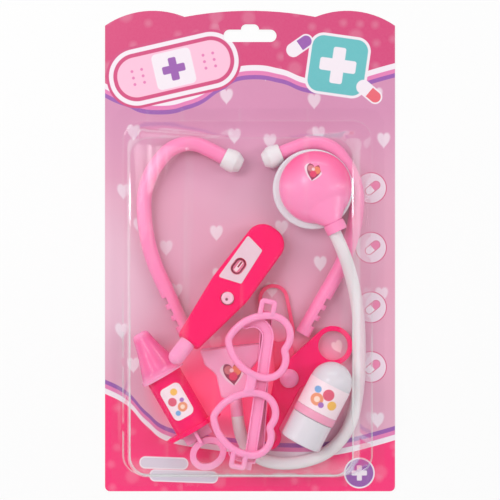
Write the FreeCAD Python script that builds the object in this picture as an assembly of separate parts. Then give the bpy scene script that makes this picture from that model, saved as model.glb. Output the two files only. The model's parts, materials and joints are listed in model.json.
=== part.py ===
"""Carded blister pack of a toy doctor set, lying on the back of its card.

Millimetres. X runs to the right of the card, Y up the card, Z out of the card towards the buyer.
The origin is under the middle of the card. Toys lie loose on the card inside a clear blister.
"""
import FreeCAD, Part
import math
import os

V = FreeCAD.Vector
UP = V(0, 0, 1)

# Clearances
REST_GAP = 0.3        # between a toy and what it lies on
FIT_GAP = 0.15        # between a plug and its socket
RUN_GAP = 0.3         # between pieces that move past each other
CROWN_FLAT = 0.6      # radius of the small flat at the crown of a turned dome

# Backing card
CARD_WIDTH = 175.0
CARD_HEIGHT = 290.0
CARD_THICK = 0.6
CARD_CORNER = 3.0
LOBE_DIP_X = 39.5     # dips between the three lobes of the top edge
LOBE_DIP = 3.7        # depth of the dips below the lobes
SHOULDER_DROP = 9.0   # top corners below the lobes
SLOT_WIDTH = 32.0
SLOT_HEIGHT = 7.5
SLOT_BUMP_WIDTH = 11.0
SLOT_BUMP_RISE = 3.2
SLOT_DROP = 15.1      # middle of the hang slot below the lobes

# Blister shell
SHELL_WALL = 0.5
FLANGE_WIDTH = 8.0
FLANGE_CORNER = 10.0
HEAD_ROOM = 1.2       # above the tallest toy
FOOT_LEFT = -76.0     # inside faces of the walls at the card
FOOT_RIGHT = 73.0
FOOT_BOTTOM = -134.0
FOOT_TOP = 78.0
FOOT_CORNER = 11.0
WAIST_Z = 12.0        # where the steep lower walls turn inwards
WAIST_INSET = 1.5
TOP_INSET_LEFT = 5.5  # roof edge inside the foot
TOP_INSET_RIGHT = 12.5
TOP_INSET_BOTTOM = 3.0
TOP_INSET_TOP = 11.5
ROOF_ROUND = 2.6      # rounding of the roof edge
LUG_RADIUS = 3.4      # half-round stiffening lugs at the foot of the walls
LUG_HEIGHT = 9.0
LUG_PROUD = 1.6
LUG_BOTTOM_START = 11.0
LUG_BOTTOM_PITCH = 20.0
LUG_BOTTOM_COUNT = 3
LUG_LEFT_YS = (-46.0, -67.0, -106.0)

# Stethoscope ear tubes
TUBE_RADIUS = 4.5
TUBE_MIDDLE = 1.0     # X of the line that the two tubes mirror about
TUBE_ROUTE = ((-15.6, 56.3), (-41.7, 69.4), (-63.5, 42.6), (-63.5, 5.3), (-37.8, -50.3))
TUBE_BENDS = (20.0, 40.0, 100.0)
TUBE_RIGHT_TURN = -5.0
TUBE_RIGHT_PIVOT = (42.0, 45.0)
TUBE_NOTCH_WIDTH = 4.2
TUBE_NOTCH_DEPTH = 2.6
TUBE_NOTCH_PITCH = 7.4
TUBE_NOTCH_COUNT = 3
TUBE_NOTCH_START = 8.9
TIP_RADIUS = 7.0
TIP_LENGTH = 12.5
TIP_COLLAR = 6.0
TIP_SPIGOT_RADIUS = 3.0
TIP_SPIGOT_LENGTH = 8.0

# Chest piece
CHEST_X = 37.3
CHEST_Y = 36.7
CHEST_RADIUS = 22.6
CHEST_RIM_PROUD = 1.3
CHEST_RIM_HEIGHT = 3.6
CHEST_DOME_HEIGHT = 12.5
CHEST_WALL = 1.8
CHEST_DISC_THICK = 1.2
CHEST_NECK_HEADING = -64.0
CHEST_NECK_REACH = 24.6
CHEST_NECK_RISE = 5.0
CHEST_COLLAR_LENGTH = 6.0
CHEST_COLLAR_RADIUS = 6.6
CHEST_SOCKET_DEPTH = 5.0
CHEST_NECK_START = 0.42       # where the neck leaves the dome, as a share of its radius
CHEST_NECK_WIDTH = 0.86       # width of the neck there, and of its end in the collar, as a share of each radius
CHEST_NECK_HEIGHT = 0.9       # height of the neck there, as a share of the dome's

# Hose
HOSE_RADIUS = 3.85
# Points of its route between the collar and the connector: X, Y, height of its underside over the floor
HOSE_ROUTE = ((60.6, -16.0, 9.0), (64.8, -35.0, 2.4), (66.0, -58.0, 0.0), (65.4, -82.0, 0.0),
              (61.0, -105.0, 0.0), (48.5, -121.0, 0.0), (30.0, -127.6, 0.0), (11.4, -127.5, 0.0),
              (0.0, -120.9, 0.4))
HOSE_LEAD_OUT = 9.0   # straight out of the collar
HOSE_LEAD_IN = 11.0   # straight into the connector

# Y connector of the stethoscope
YOKE_X = -11.8
YOKE_Y = -57.0
YOKE_TURN = 5.9
YOKE_THICK = 12.6
YOKE_TOP_HALF = 18.4
YOKE_ARM_HALF = 16.2
YOKE_ARM_DROP = 9.5
YOKE_WAIST_HALF = 10.2
YOKE_WAIST_DROP = 15.5
YOKE_FOOT_HALF = 8.4
YOKE_FOOT_DROP = 30.5
YOKE_ROUND = 1.4
YOKE_TOP_CORNER = 1.5
YOKE_ARM_CORNER = 3.0
YOKE_WAIST_CORNER = 6.0
YOKE_FOOT_CORNER = 3.0
YOKE_NECK_RADIUS = 3.85
YOKE_NECK_LENGTH = 11.5
YOKE_SOCKET_DEPTH = 11.0
YOKE_SOCKET_X = 11.0
YOKE_SOCKET_SPLAY = 12.0

# Heart-shaped play glasses
RIM_WIDTH = 4.4
RIM_THICK = 4.2
LOBE_RADIUS = 13.6     # outer curves of a heart-shaped rim
LOBE_APART = 7.0      # lobe middles from the rim's middle line
LOBE_AHEAD = 6.5
FLANK_RADIUS = 28.0    # long curves from the lobes to the rim's point
POINT_BEHIND = 20.1
LENS_PITCH = 46.3
GLASSES_X = 0.3
GLASSES_Y = -78.0
GLASSES_TURN = -10.8
BRIDGE_WIDTH = 6.5
TAB_AHEAD = 1.5
TAB_WIDTH = 10.6
TAB_LENGTH = 7.2
TAB_SLOT_WIDTH = 5.4
TAB_SLOT_LENGTH = 3.6
TAB_SLOT_START = 1.2

# Loose temples of the glasses
TEMPLE_LENGTH = 74.0
TEMPLE_WIDTH = 7.0
TEMPLE_THICK = 3.6
TEMPLE_RIB = 0.9
TEMPLE_FLOOR = 2.2
TEMPLE_HOOK_RADIUS = 9.0
TEMPLE_HOOK_TURN = 125.0
TEMPLE_LUG_LENGTH = 4.0
TEMPLE_LUG_WIDTH = 3.0
TEMPLE_ONE_X = 10.5   # where the straight bar turns into the hook
TEMPLE_ONE_Y = -52.0
TEMPLE_ONE_TURN = -8.4
TEMPLE_TWO_X = 5.3
TEMPLE_TWO_Y = -113.0
TEMPLE_TWO_TURN = -3.5

# Toy thermometer
THERMO_LENGTH = 86.0
THERMO_TOP_HALF = 11.8
THERMO_LEFT_HALF = 12.4
THERMO_RIGHT_HALF = 12.8
THERMO_TAPER_START = 46.0
THERMO_END_LEFT = 8.0
THERMO_END_RIGHT = 6.6
THERMO_THICK = 11.0
THERMO_WALL = 1.8
THERMO_ROUND = 2.2
THERMO_FLANK_ROUND = 30.0
THERMO_TOP_X = 13.8
THERMO_TOP_Y = 11.4
THERMO_HEADING = 232.7
THERMO_TIP_RADIUS = 4.8
THERMO_TIP_LENGTH = 15.5
THERMO_TIP_PLUG = 6.0
THERMO_LABEL = ((14.0, -10.6), (45.0, -9.8), (40.0, 3.6), (16.0, 1.6))
THERMO_WINDOW_X = 32.5
THERMO_WINDOW_Y = -4.0
THERMO_WINDOW_WIDTH = 7.6
THERMO_WINDOW_LENGTH = 11.0
THERMO_SCALE_THICK = 0.8
THERMO_BUTTON_RADIUS = 3.7
THERMO_BUTTON_PROUD = 1.8
THERMO_BUTTON_X = 52.0
THERMO_BUTTON_Y = 2.2
THERMO_BUTTON_FLANGE = 1.2

# Toy syringe
SYRINGE_X = -66.0
SYRINGE_Y = -48.7
SYRINGE_HEADING = -60.0
NOZZLE_LENGTH = 29.5
NOZZLE_TIP_RADIUS = 5.6
NOZZLE_LIP_RADIUS = 13.6
NOZZLE_LIP_LENGTH = 2.4
NOZZLE_WALL = 1.3
NOZZLE_OUTLET_RADIUS = 1.6
BARREL_RADIUS = 10.8
BARREL_WALL = 1.4
BARREL_LENGTH = 43.0
BARREL_SPIGOT = 6.0
BARREL_END = 2.0
FINGER_WING = 18.0
FINGER_HEIGHT = 12.6
FINGER_DISC = 12.0
FINGER_THICK = 2.6
PLUNGER_TRAVEL = 5.0
PLUNGER_WEB = 1.9
PISTON_LENGTH = 7.0
PLUNGER_LENGTH = 35.0
THUMB_RING_LONG = 22.6
THUMB_RING_SHORT = 19.2
THUMB_RING_BAND = 3.9
THUMB_RING_THICK = 5.0

# Toy ring forceps, lying lowest
FORCEPS_X = 23.5
FORCEPS_Y = -76.4
FORCEPS_THICK = 2.6
LOOP_A_X = 26.3       # from the rivet
LOOP_A_Y = 19.6
LOOP_A_HOLE = 8.8
LOOP_A_BAND = 3.0
LOOP_B_X = -7.5
LOOP_B_Y = 38.0
LOOP_B_HOLE = 7.0
LOOP_B_STRETCH = 19.0
LOOP_B_BAND = 2.2
JAW_X = -12.7
JAW_Y = -35.1
JAW_RING_HOLE = 5.2
JAW_RING_BAND = 2.8
JAW_WIDTH = 7.0
BOSS_RADIUS = 8.6
ARM_END_RADIUS = 4.0
RIVET_RADIUS = 2.5
RIVET_HEAD_RADIUS = 5.7
RIVET_HEAD_HEIGHT = 2.6

# Toy medicine bottle, lying on the forceps
BOTTLE_X = 29.5
BOTTLE_Y = -113.5
BOTTLE_HEADING = 62.5
BOTTLE_RADIUS = 12.5
BOTTLE_WALL = 1.2
BOTTLE_CAP_LENGTH = 16.5
BOTTLE_BAND_LENGTH = 5.0
BOTTLE_BAND_PROUD = 0.4
BOTTLE_LENGTH = 52.5
BOTTLE_DOME_HEIGHT = 12.5
BOTTLE_CAP_WALL = 1.6
BOTTLE_NECK_RADIUS = 9.0
BOTTLE_NECK_LENGTH = 9.0
BOTTLE_NEST = 1.2     # the round dome settles this far past the edge of the forceps' arm

# Stickers
STICKER_THICK = 0.3
CHEST_STICKER_WIDTH = 11.5
CHEST_STICKER_AHEAD = 10.0
CHEST_STICKER_TURN = -12.0
YOKE_STICKER_WIDTH = 15.0
YOKE_STICKER_DROP = 15.5
SYRINGE_STICKER_WIDTH = 13.0
SYRINGE_STICKER_LENGTH = 21.0
SYRINGE_STICKER_AT = 46.0
BOTTLE_LABEL_LENGTH = 17.5
BOTTLE_LABEL_WRAP = 200.0

# Levels that follow from the sizes
FLOOR = CARD_THICK + REST_GAP
FORCEPS_TOP = FLOOR + 2 * FORCEPS_THICK + RUN_GAP
BOTTLE_Z = FORCEPS_TOP + REST_GAP + BOTTLE_RADIUS - BOTTLE_NEST
SYRINGE_Z = FLOOR + NOZZLE_LIP_RADIUS


def direction(degrees):
    """Unit vector in the plane of the card."""
    turn = math.radians(degrees)
    return V(math.cos(turn), math.sin(turn), 0)


# Places of the thermometer's tip, which lies on the lip of the flared nozzle
TIP_MIDDLE_X = THERMO_LENGTH + THERMO_TIP_LENGTH - THERMO_TIP_RADIUS
TIP_MIDDLE_Y = (THERMO_END_RIGHT - THERMO_END_LEFT) / 2


def thermo_tip_z():
    """Height of the middle of the thermometer's tip where it lies on the nozzle's lip."""
    tip = V(THERMO_TOP_X, THERMO_TOP_Y, 0) + direction(THERMO_HEADING) * TIP_MIDDLE_X
    offset = (tip - V(SYRINGE_X, SYRINGE_Y, 0)).cross(direction(SYRINGE_HEADING)).Length
    apart = NOZZLE_LIP_RADIUS + THERMO_TIP_RADIUS + REST_GAP
    return SYRINGE_Z + math.sqrt(max(apart * apart - offset * offset, 0))


def thermo_tilt():
    """Degrees that the thermometer rises from its round end on the card to its tip."""
    middle = THERMO_THICK / 2
    reach = math.hypot(TIP_MIDDLE_X, middle)
    return math.degrees(math.asin((thermo_tip_z() - FLOOR) / reach) - math.atan2(middle, TIP_MIDDLE_X))


# The roof clears the taller of the bottle and the thermometer's raised tip
BOTTLE_TOP = BOTTLE_Z + BOTTLE_RADIUS + BOTTLE_BAND_PROUD
ROOF_Z = max(BOTTLE_TOP, thermo_tip_z() + THERMO_TIP_RADIUS) + HEAD_ROOM


def rounded_wire(points, radii):
    """Closed wire through corner points, each corner rounded by a tangent arc."""
    count = len(points)
    if isinstance(radii, (int, float)):
        radii = [radii] * count
    starts, middles, ends = [], [], []
    for i in range(count):
        corner = points[i]
        back = (points[i - 1] - corner).normalize()
        ahead = (points[(i + 1) % count] - corner).normalize()
        half = back.getAngle(ahead) / 2
        trim = radii[i] / math.tan(half)
        middle = (back + ahead).normalize()
        starts.append(corner + back * trim)
        ends.append(corner + ahead * trim)
        middles.append(corner + middle * (radii[i] / math.sin(half) - radii[i]))
    edges = []
    for i in range(count):
        edges.append(Part.Arc(starts[i], middles[i], ends[i]).toShape())
        following = starts[(i + 1) % count]
        if ends[i].distanceToPoint(following) > 1e-6:
            edges.append(Part.LineSegment(ends[i], following).toShape())
    return Part.Wire(edges)


def plate(wire, thick):
    """Flat solid of a closed wire, raised along Z."""
    return Part.Face(wire).extrude(V(0, 0, thick))


def rectangle(left, right, bottom, top, z, radius):
    """Rounded rectangle at a height."""
    corners = [V(left, bottom, z), V(right, bottom, z), V(right, top, z), V(left, top, z)]
    return rounded_wire(corners, radius)


def revolved(profile):
    """Solid of a closed profile of (radius, height) points turned about the Z axis."""
    points = [V(radius, 0, height) for radius, height in profile]
    wire = Part.makePolygon(points + [points[0]])
    return Part.Face(wire).revolve(V(0, 0, 0), UP, 360)


def laid(shape, heading):
    """Turns a shape that stands along Z so that it lies along a heading in the card's plane."""
    shape.rotate(V(0, 0, 0), V(0, 1, 0), 90)
    shape.rotate(V(0, 0, 0), UP, heading)
    return shape


def moved(shape, x, y, z):
    """Carries a shape to its place."""
    shape.translate(V(x, y, z))
    return shape


def save(name, shape):
    """Writes one piece and says how large it is."""
    shape.exportStep("parts/" + name + ".step")
    print(name, shape.isValid(), len(shape.Solids), round(shape.Volume, 1))


def backing_card():
    """Card with three lobes along its top edge and a hang slot."""
    half = CARD_WIDTH / 2
    top = CARD_HEIGHT / 2
    shoulder = top - SHOULDER_DROP
    dip = top - LOBE_DIP
    lobe_share = math.sqrt(LOBE_DIP) / (math.sqrt(LOBE_DIP) + math.sqrt(SHOULDER_DROP))
    lobe_x = LOBE_DIP_X + (half - LOBE_DIP_X) * lobe_share
    right = V(half, shoulder, 0)
    left = V(-half, shoulder, 0)
    dip_right = V(LOBE_DIP_X, dip, 0)
    dip_left = V(-LOBE_DIP_X, dip, 0)
    low_right = V(half, -top, 0)
    low_left = V(-half, -top, 0)
    edges = [
        Part.LineSegment(low_left, low_right).toShape(),
        Part.LineSegment(low_right, right).toShape(),
        Part.Arc(right, V(lobe_x, top, 0), dip_right).toShape(),
        Part.Arc(dip_right, V(0, top, 0), dip_left).toShape(),
        Part.Arc(dip_left, V(-lobe_x, top, 0), left).toShape(),
        Part.LineSegment(left, low_left).toShape(),
    ]
    card = plate(Part.Wire(edges), CARD_THICK)
    corners = []
    for edge in card.Edges:
        middle = edge.CenterOfMass
        if abs(abs(middle.x) - half) < 1e-6 and abs(middle.y + top) < 1e-6:
            corners.append(edge)
    card = card.makeFillet(CARD_CORNER, corners)
    slot_y = top - SLOT_DROP
    bar = rectangle(-SLOT_WIDTH / 2, SLOT_WIDTH / 2, slot_y - SLOT_HEIGHT / 2, slot_y + SLOT_HEIGHT / 2, 0,
                    SLOT_HEIGHT / 2 - 0.01)
    bump = rectangle(-SLOT_BUMP_WIDTH / 2, SLOT_BUMP_WIDTH / 2, slot_y,
                     slot_y + SLOT_HEIGHT / 2 + SLOT_BUMP_RISE, 0, SLOT_BUMP_RISE)
    return card.cut(plate(bar, CARD_THICK)).cut(plate(bump, CARD_THICK))


def blister_section(z, inset, grow):
    """Outline of the blister's walls at a height; inset is (left, right, bottom, top)."""
    return rectangle(FOOT_LEFT + inset[0] - grow, FOOT_RIGHT - inset[1] + grow,
                     FOOT_BOTTOM + inset[2] - grow, FOOT_TOP - inset[3] + grow, z, FOOT_CORNER + grow)


def blister_body(grow, foot_z):
    """Closed form of the blister; grow is the distance outside its inner faces."""
    foot = (0, 0, 0, 0)
    waist = (WAIST_INSET,) * 4
    top = (TOP_INSET_LEFT, TOP_INSET_RIGHT, TOP_INSET_BOTTOM, TOP_INSET_TOP)
    roof = tuple(inset + ROOF_ROUND for inset in top)
    shoulder = tuple(inset + ROOF_ROUND * 0.3 for inset in top)
    levels = [(foot_z, foot), (WAIST_Z, waist), (ROOF_Z - ROOF_ROUND + grow, top),
              (ROOF_Z - ROOF_ROUND * 0.3 + grow, shoulder), (ROOF_Z + grow, roof)]
    body = None
    for (low_z, low), (high_z, high) in zip(levels, levels[1:]):
        wires = [blister_section(low_z, low, grow), blister_section(high_z, high, grow)]
        stage = Part.makeLoft(wires, True, True)
        body = stage if body is None else body.fuse(stage)
    for x, y in blister_lugs():
        lug = Part.makeCone(LUG_RADIUS + grow, LUG_RADIUS + grow - WAIST_INSET / 2, LUG_HEIGHT + grow - foot_z,
                            V(x, y, foot_z))
        body = body.fuse(lug)
    return body


def blister_lugs():
    """Middles of the stiffening lugs along the bottom and left walls."""
    bottom_y = FOOT_BOTTOM + LUG_RADIUS - LUG_PROUD
    bottom = [(LUG_BOTTOM_START + LUG_BOTTOM_PITCH * i, bottom_y) for i in range(LUG_BOTTOM_COUNT)]
    left = [(FOOT_LEFT + LUG_RADIUS - LUG_PROUD, y) for y in LUG_LEFT_YS]
    return bottom + left


def blister():
    """Clear shell with drafted two-stage walls on a flange that is sealed to the card."""
    flange = rectangle(FOOT_LEFT - FLANGE_WIDTH, FOOT_RIGHT + FLANGE_WIDTH, FOOT_BOTTOM - FLANGE_WIDTH,
                       FOOT_TOP + FLANGE_WIDTH, CARD_THICK, FLANGE_CORNER)
    outside = plate(flange, SHELL_WALL).fuse(blister_body(SHELL_WALL, CARD_THICK))
    return outside.cut(blister_body(0, CARD_THICK)).removeSplitter()


def bent_path(points, bends):
    """Open wire of straight runs joined by tangent arcs of given radii."""
    edges = []
    start = points[0]
    for i, radius in enumerate(bends, 1):
        corner = points[i]
        back = (points[i - 1] - corner).normalize()
        ahead = (points[i + 1] - corner).normalize()
        half = back.getAngle(ahead) / 2
        trim = radius / math.tan(half)
        middle = (back + ahead).normalize()
        first = corner + back * trim
        last = corner + ahead * trim
        edges.append(Part.LineSegment(start, first).toShape())
        edges.append(Part.Arc(first, corner + middle * (radius / math.sin(half) - radius), last).toShape())
        start = last
    edges.append(Part.LineSegment(start, points[-1]).toShape())
    return Part.Wire(edges)


def tube_along(path, radius):
    """Round tube solid along a path that starts straight."""
    first = path.OrderedEdges[0]
    begin = first.valueAt(first.FirstParameter)
    along = first.tangentAt(first.FirstParameter)
    ring = Part.Wire(Part.makeCircle(radius, begin, along))
    return path.makePipeShell([ring], True, False)


def tube_slope():
    """Degrees that an ear tube leans, resting on its tip and on its notched foot."""
    rise = TIP_RADIUS - TUBE_RADIUS
    return math.degrees(math.atan2(rise, TUBE_ROUTE[0][1] - TUBE_ROUTE[-1][1]))


def tube_top(y):
    """Height of the top of an ear tube at a place up the card."""
    return FLOOR + 2 * TUBE_RADIUS + (y - TUBE_ROUTE[-1][1]) * math.tan(math.radians(tube_slope()))


def set_ear(shape, right):
    """Leans an ear piece on its tip, and mirrors and turns it for the right-hand side."""
    foot_y = TUBE_ROUTE[-1][1]
    shape.translate(V(0, 0, FLOOR + TUBE_RADIUS))
    shape.rotate(V(0, foot_y, FLOOR + TUBE_RADIUS), V(1, 0, 0), tube_slope())
    if right:
        shape = shape.mirror(V(TUBE_MIDDLE, 0, 0), V(1, 0, 0))
        shape.rotate(V(*TUBE_RIGHT_PIVOT, 0), UP, TUBE_RIGHT_TURN)
    return shape


def ear_tube(right):
    """Bent tube with snap notches at its foot and a spigot for the ear tip."""
    points = [V(x, y, 0) for x, y in TUBE_ROUTE]
    tube = tube_along(bent_path(points, TUBE_BENDS), TUBE_RADIUS)
    out = (points[0] - points[1]).normalize()
    spigot = Part.makeCylinder(TIP_SPIGOT_RADIUS, TIP_SPIGOT_LENGTH, points[0], out)
    tube = tube.fuse(spigot)
    along = (points[-2] - points[-1]).normalize()
    heading = math.degrees(math.atan2(along.y, along.x))
    for i in range(TUBE_NOTCH_COUNT):
        notch = Part.makeBox(TUBE_NOTCH_WIDTH, TUBE_NOTCH_DEPTH * 2, TUBE_RADIUS * 3)
        notch.translate(V(TUBE_NOTCH_START + TUBE_NOTCH_PITCH * i - TUBE_NOTCH_WIDTH / 2,
                          TUBE_RADIUS - TUBE_NOTCH_DEPTH, -TUBE_RADIUS * 1.5))
        notch.rotate(V(0, 0, 0), UP, heading)
        notch.translate(points[-1])
        tube = tube.cut(notch)
    return set_ear(tube, right)


def ear_tip(right):
    """Soft rounded ear tip, pushed over the spigot of a tube."""
    bore = TIP_SPIGOT_RADIUS + FIT_GAP
    depth = TIP_SPIGOT_LENGTH + FIT_GAP
    shoulder = TIP_LENGTH - TIP_RADIUS
    edges = [
        Part.LineSegment(V(bore, 0, 0), V(TIP_COLLAR, 0, 0)).toShape(),
        Part.LineSegment(V(TIP_COLLAR, 0, 0), V(TIP_RADIUS, 0, shoulder)).toShape(),
        Part.Arc(V(TIP_RADIUS, 0, shoulder),
                 V(TIP_RADIUS * math.sqrt(0.5), 0, shoulder + TIP_RADIUS * math.sqrt(0.5)),
                 V(0, 0, TIP_LENGTH)).toShape(),
        Part.LineSegment(V(0, 0, TIP_LENGTH), V(0, 0, depth)).toShape(),
        Part.LineSegment(V(0, 0, depth), V(bore, 0, depth)).toShape(),
        Part.LineSegment(V(bore, 0, depth), V(bore, 0, 0)).toShape(),
    ]
    tip = Part.Face(Part.Wire(edges)).revolve(V(0, 0, 0), UP, 360)
    end = V(*TUBE_ROUTE[0], 0)
    out = end - V(*TUBE_ROUTE[1], 0)
    laid(tip, math.degrees(math.atan2(out.y, out.x)))
    tip.translate(end)
    return set_ear(tip, right)


def heart_wire(width):
    """Heart outline from two round lobes and two arcs to its point."""
    half = width / 2
    notch = V(0, width * 0.18, 0)
    point = V(0, -width * 0.52, 0)
    left = [notch, V(-half * 0.58, half * 0.72, 0), V(-half, width * 0.1, 0), V(-half * 0.68, -half * 0.42, 0)]
    right = [V(-p.x, p.y, 0) for p in left]
    return Part.Wire([
        Part.Arc(notch, left[1], left[2]).toShape(),
        Part.Arc(left[2], left[3], point).toShape(),
        Part.Arc(point, right[3], right[2]).toShape(),
        Part.Arc(right[2], right[1], notch).toShape(),
    ])


# Heights of the chest piece, which lies across the right ear tube
CHEST_BASE = tube_top(CHEST_Y + CHEST_RADIUS) + REST_GAP
CHEST_DOME_BASE = CHEST_BASE + CHEST_RIM_HEIGHT
HOSE_START_Z = CHEST_DOME_BASE + CHEST_NECK_RISE


def chest_neck(distance, z):
    """Point on the chest piece's neck, a distance from the middle of the dome."""
    return V(CHEST_X, CHEST_Y, z) + direction(CHEST_NECK_HEADING) * distance


def chest_dome():
    """Low dome drawn out to one side into a neck and collar for the hose."""
    half = Part.Ellipse(V(0, 0, 0), CHEST_RADIUS, CHEST_DOME_HEIGHT)
    arc = Part.ArcOfEllipse(half, 0, math.acos(CROWN_FLAT / CHEST_RADIUS)).toShape()
    arc.rotate(V(0, 0, 0), V(1, 0, 0), 90)
    crown = V(CROWN_FLAT, 0, CHEST_DOME_HEIGHT * math.sqrt(1 - (CROWN_FLAT / CHEST_RADIUS) ** 2))
    foot = Part.LineSegment(V(0, 0, 0), V(CHEST_RADIUS, 0, 0)).toShape()
    flat = Part.LineSegment(crown, V(0, 0, crown.z)).toShape()
    axis = Part.LineSegment(V(0, 0, crown.z), V(0, 0, 0)).toShape()
    dome = Part.Face(Part.Wire([foot, arc, flat, axis])).revolve(V(0, 0, 0), UP, 360)
    moved(dome, CHEST_X, CHEST_Y, CHEST_DOME_BASE)
    along = direction(CHEST_NECK_HEADING)
    wide = Part.Ellipse(V(0, 0, 0), CHEST_RADIUS * CHEST_NECK_WIDTH,
                        CHEST_DOME_HEIGHT * CHEST_NECK_HEIGHT).toShape()
    wide.rotate(V(0, 0, 0), V(1, 0, 0), 90)
    wide.rotate(V(0, 0, 0), UP, CHEST_NECK_HEADING + 90)
    wide.translate(chest_neck(CHEST_RADIUS * CHEST_NECK_START, CHEST_DOME_BASE))
    narrow = Part.makeCircle(CHEST_COLLAR_RADIUS * CHEST_NECK_WIDTH, chest_neck(CHEST_NECK_REACH, HOSE_START_Z),
                             along)
    neck = Part.makeLoft([Part.Wire(wide), Part.Wire(narrow)], True, True)
    reach = CHEST_RADIUS + CHEST_NECK_REACH
    below = Part.makeBox(2 * reach, 2 * reach, reach,
                         V(CHEST_X - reach, CHEST_Y - reach, CHEST_DOME_BASE - reach))
    collar = Part.makeCylinder(CHEST_COLLAR_RADIUS, CHEST_COLLAR_LENGTH,
                               chest_neck(CHEST_NECK_REACH, HOSE_START_Z), along)
    socket_at = CHEST_NECK_REACH + CHEST_COLLAR_LENGTH - CHEST_SOCKET_DEPTH
    socket = Part.makeCylinder(HOSE_RADIUS + FIT_GAP, CHEST_SOCKET_DEPTH,
                               chest_neck(socket_at, HOSE_START_Z), along)
    return dome.fuse(neck.cut(below)).fuse(collar).cut(socket)


def chest_rim():
    """Rim ring under the dome, with a ledge that holds the disc."""
    outer = CHEST_RADIUS + CHEST_RIM_PROUD
    inner = CHEST_RADIUS - CHEST_WALL
    ledge = inner - CHEST_WALL
    seat = CHEST_DISC_THICK + FIT_GAP
    ring = revolved(((inner, 0), (outer, 0), (outer, CHEST_RIM_HEIGHT), (ledge, CHEST_RIM_HEIGHT),
                     (ledge, seat), (inner, seat)))
    return moved(ring, CHEST_X, CHEST_Y, CHEST_BASE)


def chest_diaphragm():
    """Thin disc held in the rim."""
    disc = Part.makeCylinder(CHEST_RADIUS - CHEST_WALL - FIT_GAP, CHEST_DISC_THICK)
    return moved(disc, CHEST_X, CHEST_Y, CHEST_BASE)


def set_yoke(shape):
    """Carries a piece from the connector's own frame, top middle at the origin, to its place."""
    shape.rotate(V(0, 0, 0), UP, YOKE_TURN)
    return moved(shape, YOKE_X, YOKE_Y, FLOOR)


def hose_yoke():
    """Y connector: a waisted block with two splayed tube sockets and a neck for the hose."""
    corners = [
        V(-YOKE_TOP_HALF, 0, 0), V(YOKE_TOP_HALF, 0, 0), V(YOKE_ARM_HALF, -YOKE_ARM_DROP, 0),
        V(YOKE_WAIST_HALF, -YOKE_WAIST_DROP, 0), V(YOKE_FOOT_HALF, -YOKE_FOOT_DROP, 0),
        V(-YOKE_FOOT_HALF, -YOKE_FOOT_DROP, 0), V(-YOKE_WAIST_HALF, -YOKE_WAIST_DROP, 0),
        V(-YOKE_ARM_HALF, -YOKE_ARM_DROP, 0),
    ]
    rounds = (YOKE_TOP_CORNER, YOKE_TOP_CORNER, YOKE_ARM_CORNER, YOKE_WAIST_CORNER, YOKE_FOOT_CORNER,
              YOKE_FOOT_CORNER, YOKE_WAIST_CORNER, YOKE_ARM_CORNER)
    yoke = plate(rounded_wire(corners, rounds), YOKE_THICK)
    rims = [edge for edge in yoke.Edges if abs(edge.CenterOfMass.z - YOKE_THICK) < 1e-6]
    yoke = yoke.makeFillet(YOKE_ROUND, rims)
    middle = YOKE_THICK / 2
    for side in (-1, 1):
        inward = direction(-90 - side * YOKE_SOCKET_SPLAY)
        mouth = V(side * YOKE_SOCKET_X, 0, middle) - inward * 2
        yoke = yoke.cut(Part.makeCylinder(TUBE_RADIUS + FIT_GAP, YOKE_SOCKET_DEPTH + 2, mouth, inward))
    neck = Part.makeCylinder(YOKE_NECK_RADIUS, YOKE_NECK_LENGTH, V(0, -YOKE_FOOT_DROP, middle), V(0, -1, 0))
    return set_yoke(yoke.fuse(neck))


def yoke_sticker():
    """Heart sticker on the connector."""
    sticker = plate(heart_wire(YOKE_STICKER_WIDTH), STICKER_THICK)
    return set_yoke(moved(sticker, 0, -YOKE_STICKER_DROP, YOKE_THICK))


def chest_sticker():
    """Heart sticker pressed on the crown of the chest piece."""
    heart = heart_wire(CHEST_STICKER_WIDTH)
    heart.rotate(V(0, 0, 0), UP, CHEST_STICKER_TURN)
    cutter = plate(heart, CHEST_DOME_HEIGHT * 3)
    moved(cutter, CHEST_X, CHEST_Y + CHEST_STICKER_AHEAD, CHEST_DOME_BASE)
    skin = chest_dome()
    lifted = moved(skin.copy(), 0, 0, STICKER_THICK)
    return cutter.common(lifted).cut(skin)


# Stack of the connector, the two temples and the glasses
TEMPLE_TWO_Z = FLOOR + YOKE_THICK + STICKER_THICK + REST_GAP
TEMPLE_ONE_Z = TEMPLE_TWO_Z + TEMPLE_THICK + REST_GAP
GLASSES_Z = TEMPLE_ONE_Z + TEMPLE_THICK + REST_GAP


def tangent_points(first, first_radius, second, second_radius, side):
    """Ends of the outer tangent of two circles on one side of the line between them."""
    line = second - first
    lean = math.acos((first_radius - second_radius) / line.Length)
    heading = math.atan2(line.y, line.x) + side * lean
    normal = V(math.cos(heading), math.sin(heading), 0)
    return first + normal * first_radius, second + normal * second_radius


def flank_middle():
    """Middle of the long curve that leaves the upper lobe smoothly and ends at the rim's point."""
    lobe = V(LOBE_AHEAD, LOBE_APART, 0)
    point = V(-POINT_BEHIND, 0, 0)
    line = lobe - point
    inner = FLANK_RADIUS - LOBE_RADIUS
    along = (FLANK_RADIUS ** 2 - inner ** 2 + line.Length ** 2) / (2 * line.Length)
    aside = math.sqrt(FLANK_RADIUS ** 2 - along ** 2)
    ahead = V(line).normalize()
    return point + ahead * along + V(ahead.y, -ahead.x, 0) * aside


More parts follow.
